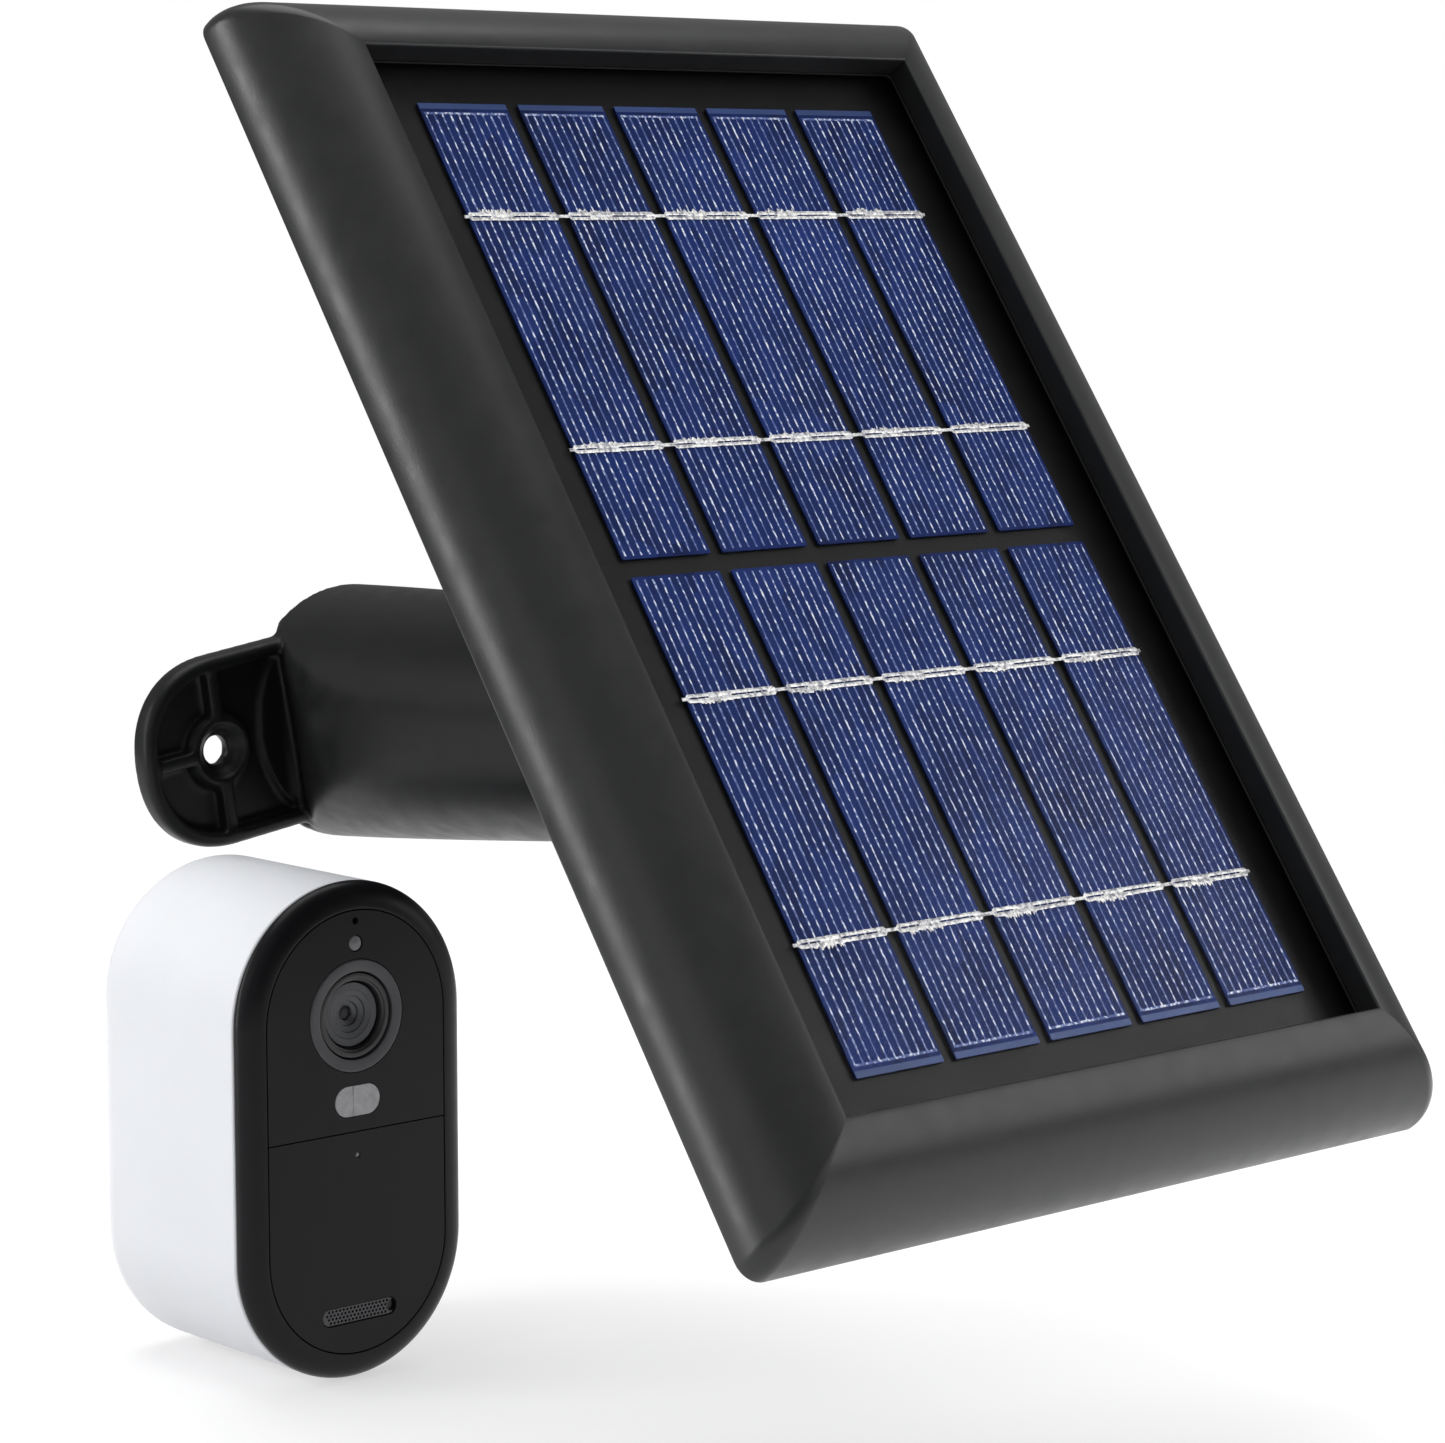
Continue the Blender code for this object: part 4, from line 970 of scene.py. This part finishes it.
def build_front():
    rise = FACE_TOP - 0.5
    profile = [(0.25, 0.15), (0.07, 0.22), (0, 0.4)]
    steps = 18
    for i in range(1, steps + 1):
        angle = 0.5 * math.pi * i / steps
        profile.append((FACE_INSET * (1 - math.cos(angle)) * 0.97, 0.4 + rise * math.sin(angle)))
    profile += [(FACE_INSET - 0.05, FACE_TOP - 0.12), (FACE_INSET, FACE_TOP - 0.2), (FACE_INSET, 0.9)]
    profile += [(FACE_INSET + 2.2, 0.9), (FACE_INSET + 2.2, -1.5)]
    profile += [(UNIT_WALL + GAP, -1.5), (UNIT_WALL + GAP, 0.15)]
    loops = [unit_loop(*point) for point in profile]
    piece("bezel_ring", lofted(loops, wrap=True), UNIT, FACE_BLACK, ["front_bezel"])
    outline = stadium(UNIT_W - 2 * FACE_INSET - 0.36, UNIT_H - 2 * FACE_INSET - 0.36)
    plate = prism(outline, 1.2, FACE_TOP - 0.1)
    wide = rounded_rectangle(60, 60, 1, 1)
    seam = 0.09
    below = shifted(prism(wide, 0, 5), y=SEAM_Y + seam - 30)
    above = shifted(prism(wide, 0, 5), y=SEAM_Y - seam + 30)
    holes = [below, shifted(cylinder(9.12, 0, 5, 96), y=LENS_Y)]
    holes.append(shifted(cylinder(1.36, 0, 5), y=SENSOR_Y))
    holes.append(shifted(cylinder(0.55, 0, 5, 24), y=MICROPHONE_Y))
    holes.append(shifted(prism(stadium(8.9, 5.1), 0, 5), y=PIR_Y))
    piece("upper_window", plate, UNIT, FACE_BLACK, ["upper_front_window"], holes, edge=0.1)
    holes = [above, shifted(cylinder(0.45, 0, 5, 24), y=STATUS_Y)]
    holes.append(shifted(prism(stadium(14.6, 2.9), 0, 5), y=GRILLE_Y))
    piece("lower_panel", plate, UNIT, FACE_BLACK, ["lower_front_panel"], holes, edge=0.1)
    # A deep-black sheet behind the face plates: painted shade, seen dark through their seam and small
    # holes.
    shade = prism(stadium(UNIT_W - 2 * FACE_INSET - 4.6, UNIT_H - 2 * FACE_INSET - 4.6), -0.6, 0.7)
    well = shifted(cylinder(9.0, -2, 5, 64), y=LENS_Y)
    piece("face_shade_sheet", shade, UNIT, DEEP_BLACK, ["front_bezel"], [well], hides=False)


def build_lens():
    top = FACE_TOP
    ring = [(7.1, 1.4), (9.0, 1.4), (9.0, top - 0.1), (8.85, top + 0.06)]
    ring += [(8.6, top + 0.1), (7.5, top + 0.02), (7.1, top - 0.12)]
    piece("lens_ring_outer", shifted(turned(ring, 128), y=LENS_Y), UNIT, RING_GREY, ["lens_ring"])
    barrel = [(0, -4.0), (5.35, -4.0), (5.35, 1.7), (5.5, 2.1), (5.6, 2.3), (5.85, 2.4), (5.95, 2.62)]
    barrel += [(6.4, 2.72), (6.75, 2.62), (6.8, 2.5), (6.8, -10), (0, -10)]
    piece("lens_well", shifted(turned(barrel, 128), y=LENS_Y), UNIT, WELL_GREY, ["lens_barrel"])
    disc = [(0, -0.5), (1.15, -0.5), (1.2, 0.1), (1.9, 0.35), (2.0, 0.75), (2.9, 0.95)]
    disc += [(3.0, 1.2), (3.9, 1.35), (4.0, 1.45), (5.05, 1.5), (5.1, 1.4), (5.1, -1.5), (0, -1.5)]
    piece("lens_stops", shifted(turned(disc, 128), y=LENS_Y), UNIT, DISC_GREY, ["lens_glass"], hides=False)
    dome = [(0, 1.6), (5.3, 1.6), (5.3, 1.75)]
    for i in range(1, 13):
        angle = math.radians(7.2 * i)
        dome.append((5.3 * math.cos(angle), 1.75 + 0.9 * math.sin(angle)))
    dome.append((0, dome[-1][1]))
    piece("lens_front_glass", shifted(turned(dome, 96), y=LENS_Y), UNIT, LENS_COAT, ["lens_glass"])
    pupil = [(0, -0.45), (1.1, -0.45), (1.1, -0.4), (0.8, -0.2), (0.4, -0.12), (0, -0.12)]
    piece("lens_pupil", shifted(turned(pupil, 48), y=LENS_Y), UNIT, DEEP_BLACK, ["lens_glass"], hides=False)


def build_windows():
    bead = [(0, 1.2), (1.25, 1.2), (1.25, 2.75), (1.1, 2.92), (0.6, 3.02), (0.2, 3.05), (0, 3.05)]
    bead = shifted(turned(bead, 48), y=SENSOR_Y)
    piece("light_sensor_bead", bead, UNIT, SENSOR_GREY, ["light_sensor"])
    pane = shifted(prism(stadium(8.7, 4.9), 1.2, FACE_TOP - 0.02), y=PIR_Y)
    divider = shifted(prism(rounded_rectangle(0.22, 6, 0.1, 2), FACE_TOP - 0.12, 5), -0.9, PIR_Y)
    piece("motion_pane", pane, UNIT, FROST, ["motion_sensor_window"], [divider], edge=0.25)
    dot = [(0, -0.8), (0.38, -0.8), (0.38, 2.8), (0.2, 2.9), (0, 2.9)]
    piece("status_dot", shifted(turned(dot, 24), y=STATUS_Y), UNIT, SENSOR_GREY, ["status_light_pipe"])


def build_grille():
    """A slotted strip with four staggered rows of holes, and a deeper notch at its right end."""
    pitch = 0.72
    row_pitch = 0.6
    low, high = 1.6, FACE_TOP - 0.35

    def holes(shape):
        for row in range(4):
            y = (row - 1.5) * row_pitch
            for column in range(17):
                x = -6.25 + column * pitch + (row % 2) * pitch / 2
                if abs(y) > 0.7 and x < -5.9:
                    continue
                before = set(shape.verts)
                cylinder(0.235, low - 0.5, high + 0.5, 10)(shape)
                added = [vert for vert in shape.verts if vert not in before]
                bmesh.ops.translate(shape, vec=(x, y, 0), verts=added)

    strip = prism(stadium(14.2, 2.6), low, high)
    notch = shifted(cylinder(0.95, high - 0.7, high + 1), 6.45)
    at = Matrix.Translation(Vector((0, GRILLE_Y, 0)) * MM)
    piece("grille_strip", strip, UNIT @ at, GRILLE_GREY, ["speaker_grille"], [holes, notch])


def build_back_details():
    back = -UNIT_DEPTH
    high = back + 9.0
    socket = [(0, high - 1.5), (3.2, high - 1.5)]
    for i in range(8):
        z = high - 2.0 - 0.75 * i
        socket += [(3.2, z), (2.85, z - 0.35)]
    socket += [(3.2, back + 0.7), (3.6, back + 0.3), (5.2, back + 0.2), (5.5, back + 0.5)]
    socket += [(5.5, high), (0, high)]
    piece("socket_brass", shifted(turned(socket, 64), y=SOCKET_Y), UNIT, BRASS, ["mounting_socket"])
    button = [(0, back + 0.15), (1.2, back + 0.1), (2.3, back - 0.12), (2.6, back - 0.2)]
    button += [(2.85, back - 0.1), (3.0, back + 0.2), (3.0, back + 2.5)]
    button += [(4.2, back + 2.5), (4.2, back + 3.5), (0, back + 3.5)]
    piece("sync_cap", shifted(turned(button, 64), y=BUTTON_Y), UNIT, LIGHT_GREY, ["sync_button"])
    flap = shifted(prism(rounded_rectangle(13.4, 7.4, 0.9, 8), back + 0.25, back + 2.0), y=PORT_Y)
    grip = shifted(prism(stadium(6, 1.0, 8), back - 0.5, back + 0.65), y=PORT_Y + 2.4)
    piece("port_flap_cover", flap, UNIT, LIGHT_GREY, ["port_cover"], [grip], edge=0.2)
    repaint(BATTERY, "battery")
    repaint(DEEP_BLACK, "speaker")


def build_camera_unit():
    build_body_shell()
    build_front()
    build_lens()
    build_windows()
    build_grille()
    build_back_details()


# Studio


def seen_directly(nodes, link, lighting, seen, mirrored):
    """A strength for what is seen, one for what gloss mirrors and one for the light given off."""
    path = nodes.new("ShaderNodeLightPath")
    strength = nodes.new("ShaderNodeMapRange")
    strength.inputs["To Max"].default_value = seen
    unseen = nodes.new("ShaderNodeMapRange")
    unseen.inputs["To Min"].default_value = lighting
    unseen.inputs["To Max"].default_value = mirrored
    link(path.outputs["Is Glossy Ray"], unseen.inputs["Value"])
    link(unseen.outputs["Result"], strength.inputs["To Min"])
    link(path.outputs["Is Camera Ray"], strength.inputs["Value"])
    return strength.outputs["Result"]


def build_floor():
    """A pale floor that fades into the white surroundings away from the object."""
    floor_z = unit_low[2] - 0.0003
    mesh = bpy.data.meshes.new("floor")
    half = FLOOR_HALF
    corners = [(-half, -half, floor_z), (half, -half, floor_z), (half, half, floor_z)]
    corners.append((-half, half, floor_z))
    mesh.from_pydata(corners, [], [(0, 1, 2, 3)])
    finish = Finish("studio_floor")
    finish.colour(finish.noise(60), [(0.3, (0.54, 0.54, 0.545)), (0.7, (0.56, 0.56, 0.565))])
    finish.roughness(finish.noise(30), 0.65, 0.75)
    finish.set(Emission_Color=(1.0, 1.0, 1.0, 1.0), Specular_IOR_Level=0.1)
    glow = seen_directly(finish.nodes, finish.link, 0.0, 0.54, 0.9)
    finish.link(glow, finish.shader.inputs["Emission Strength"])
    distance = finish.nodes.new("ShaderNodeVectorMath")
    distance.operation = "LENGTH"
    finish.link(finish.place, distance.inputs[0])
    fade = finish.nodes.new("ShaderNodeMapRange")
    fade.interpolation_type = "SMOOTHSTEP"
    fade.inputs["From Min"].default_value = FLOOR_FADE[0]
    fade.inputs["From Max"].default_value = FLOOR_FADE[1]
    finish.link(distance.outputs["Value"], fade.inputs["Value"])
    clear = finish.nodes.new("ShaderNodeBsdfTransparent")
    mix = finish.nodes.new("ShaderNodeMixShader")
    finish.link(fade.outputs["Result"], mix.inputs["Fac"])
    finish.link(finish.shader.outputs["BSDF"], mix.inputs[1])
    finish.link(clear.outputs["BSDF"], mix.inputs[2])
    finish.link(mix.outputs["Shader"], finish.nodes["Material Output"].inputs["Surface"])
    new_object("floor", mesh, finish.material)


def build_world():
    """A white studio: seen directly it is white, and it lights the object more softly."""
    world = bpy.data.worlds.new("studio")
    bpy.context.scene.world = world
    world.use_nodes = True
    nodes = world.node_tree.nodes
    links = world.node_tree.links
    background = nodes["Background"]
    background.inputs["Color"].default_value = (1.0, 1.0, 1.0, 1.0)
    links.new(seen_directly(nodes, links.new, 0.3, 1.0, 0.3), background.inputs["Strength"])


def area_light(name, place, target, size, watts, up=(0, 0, 1)):
    data = bpy.data.lights.new(name, "AREA")
    data.shape = "RECTANGLE"
    data.size, data.size_y = size
    data.energy = watts
    light = bpy.data.objects.new(name, data)
    back = (Vector(place) - Vector(target)).normalized()
    right = Vector(up).cross(back).normalized()
    turn = Matrix((right, back.cross(right), back)).transposed()
    light.matrix_world = Matrix.Translation(place) @ turn.to_4x4()
    bpy.context.scene.collection.objects.link(light)


def build_camera():
    data = bpy.data.cameras.new("camera")
    data.sensor_width = 36
    data.lens = CAMERA_LENS
    data.clip_start = 0.01
    camera = bpy.data.objects.new("camera", data)
    bpy.context.scene.collection.objects.link(camera)
    ahead = Vector(CAMERA_AHEAD)
    up = Vector(CAMERA_UP)
    right = ahead.cross(up).normalized()
    up = right.cross(ahead).normalized()
    turn = Matrix((right, up, -ahead.normalized())).transposed()
    camera.matrix_world = Matrix.Translation(CAMERA_AT) @ turn.to_4x4()
    bpy.context.scene.camera = camera


def build_studio():
    build_floor()
    build_world()
    middle = (0.0, -0.10, 0.0)
    along_panel = PANEL.to_3x3() @ Vector((0, 1, 0))
    area_light("strip", (-1.17, 0.42, 0.22), middle, (0.16, 1.3), 11, along_panel)
    area_light("left", (-1.3, -0.5, 0.5), middle, (0.7, 0.7), 1.5)
    area_light("top", (0.1, 0.05, 1.4), middle, (1.3, 1.3), 16)
    area_light("front", (0.3, -1.4, 0.5), middle, (1.0, 0.8), 2)
    area_light("right", (0.95, -0.97, 0.45), middle, (0.9, 0.9), 6)
    build_camera()
    bpy.context.scene.view_settings.view_transform = "Standard"


build_panel()
build_arm()
build_camera_unit()
build_studio()
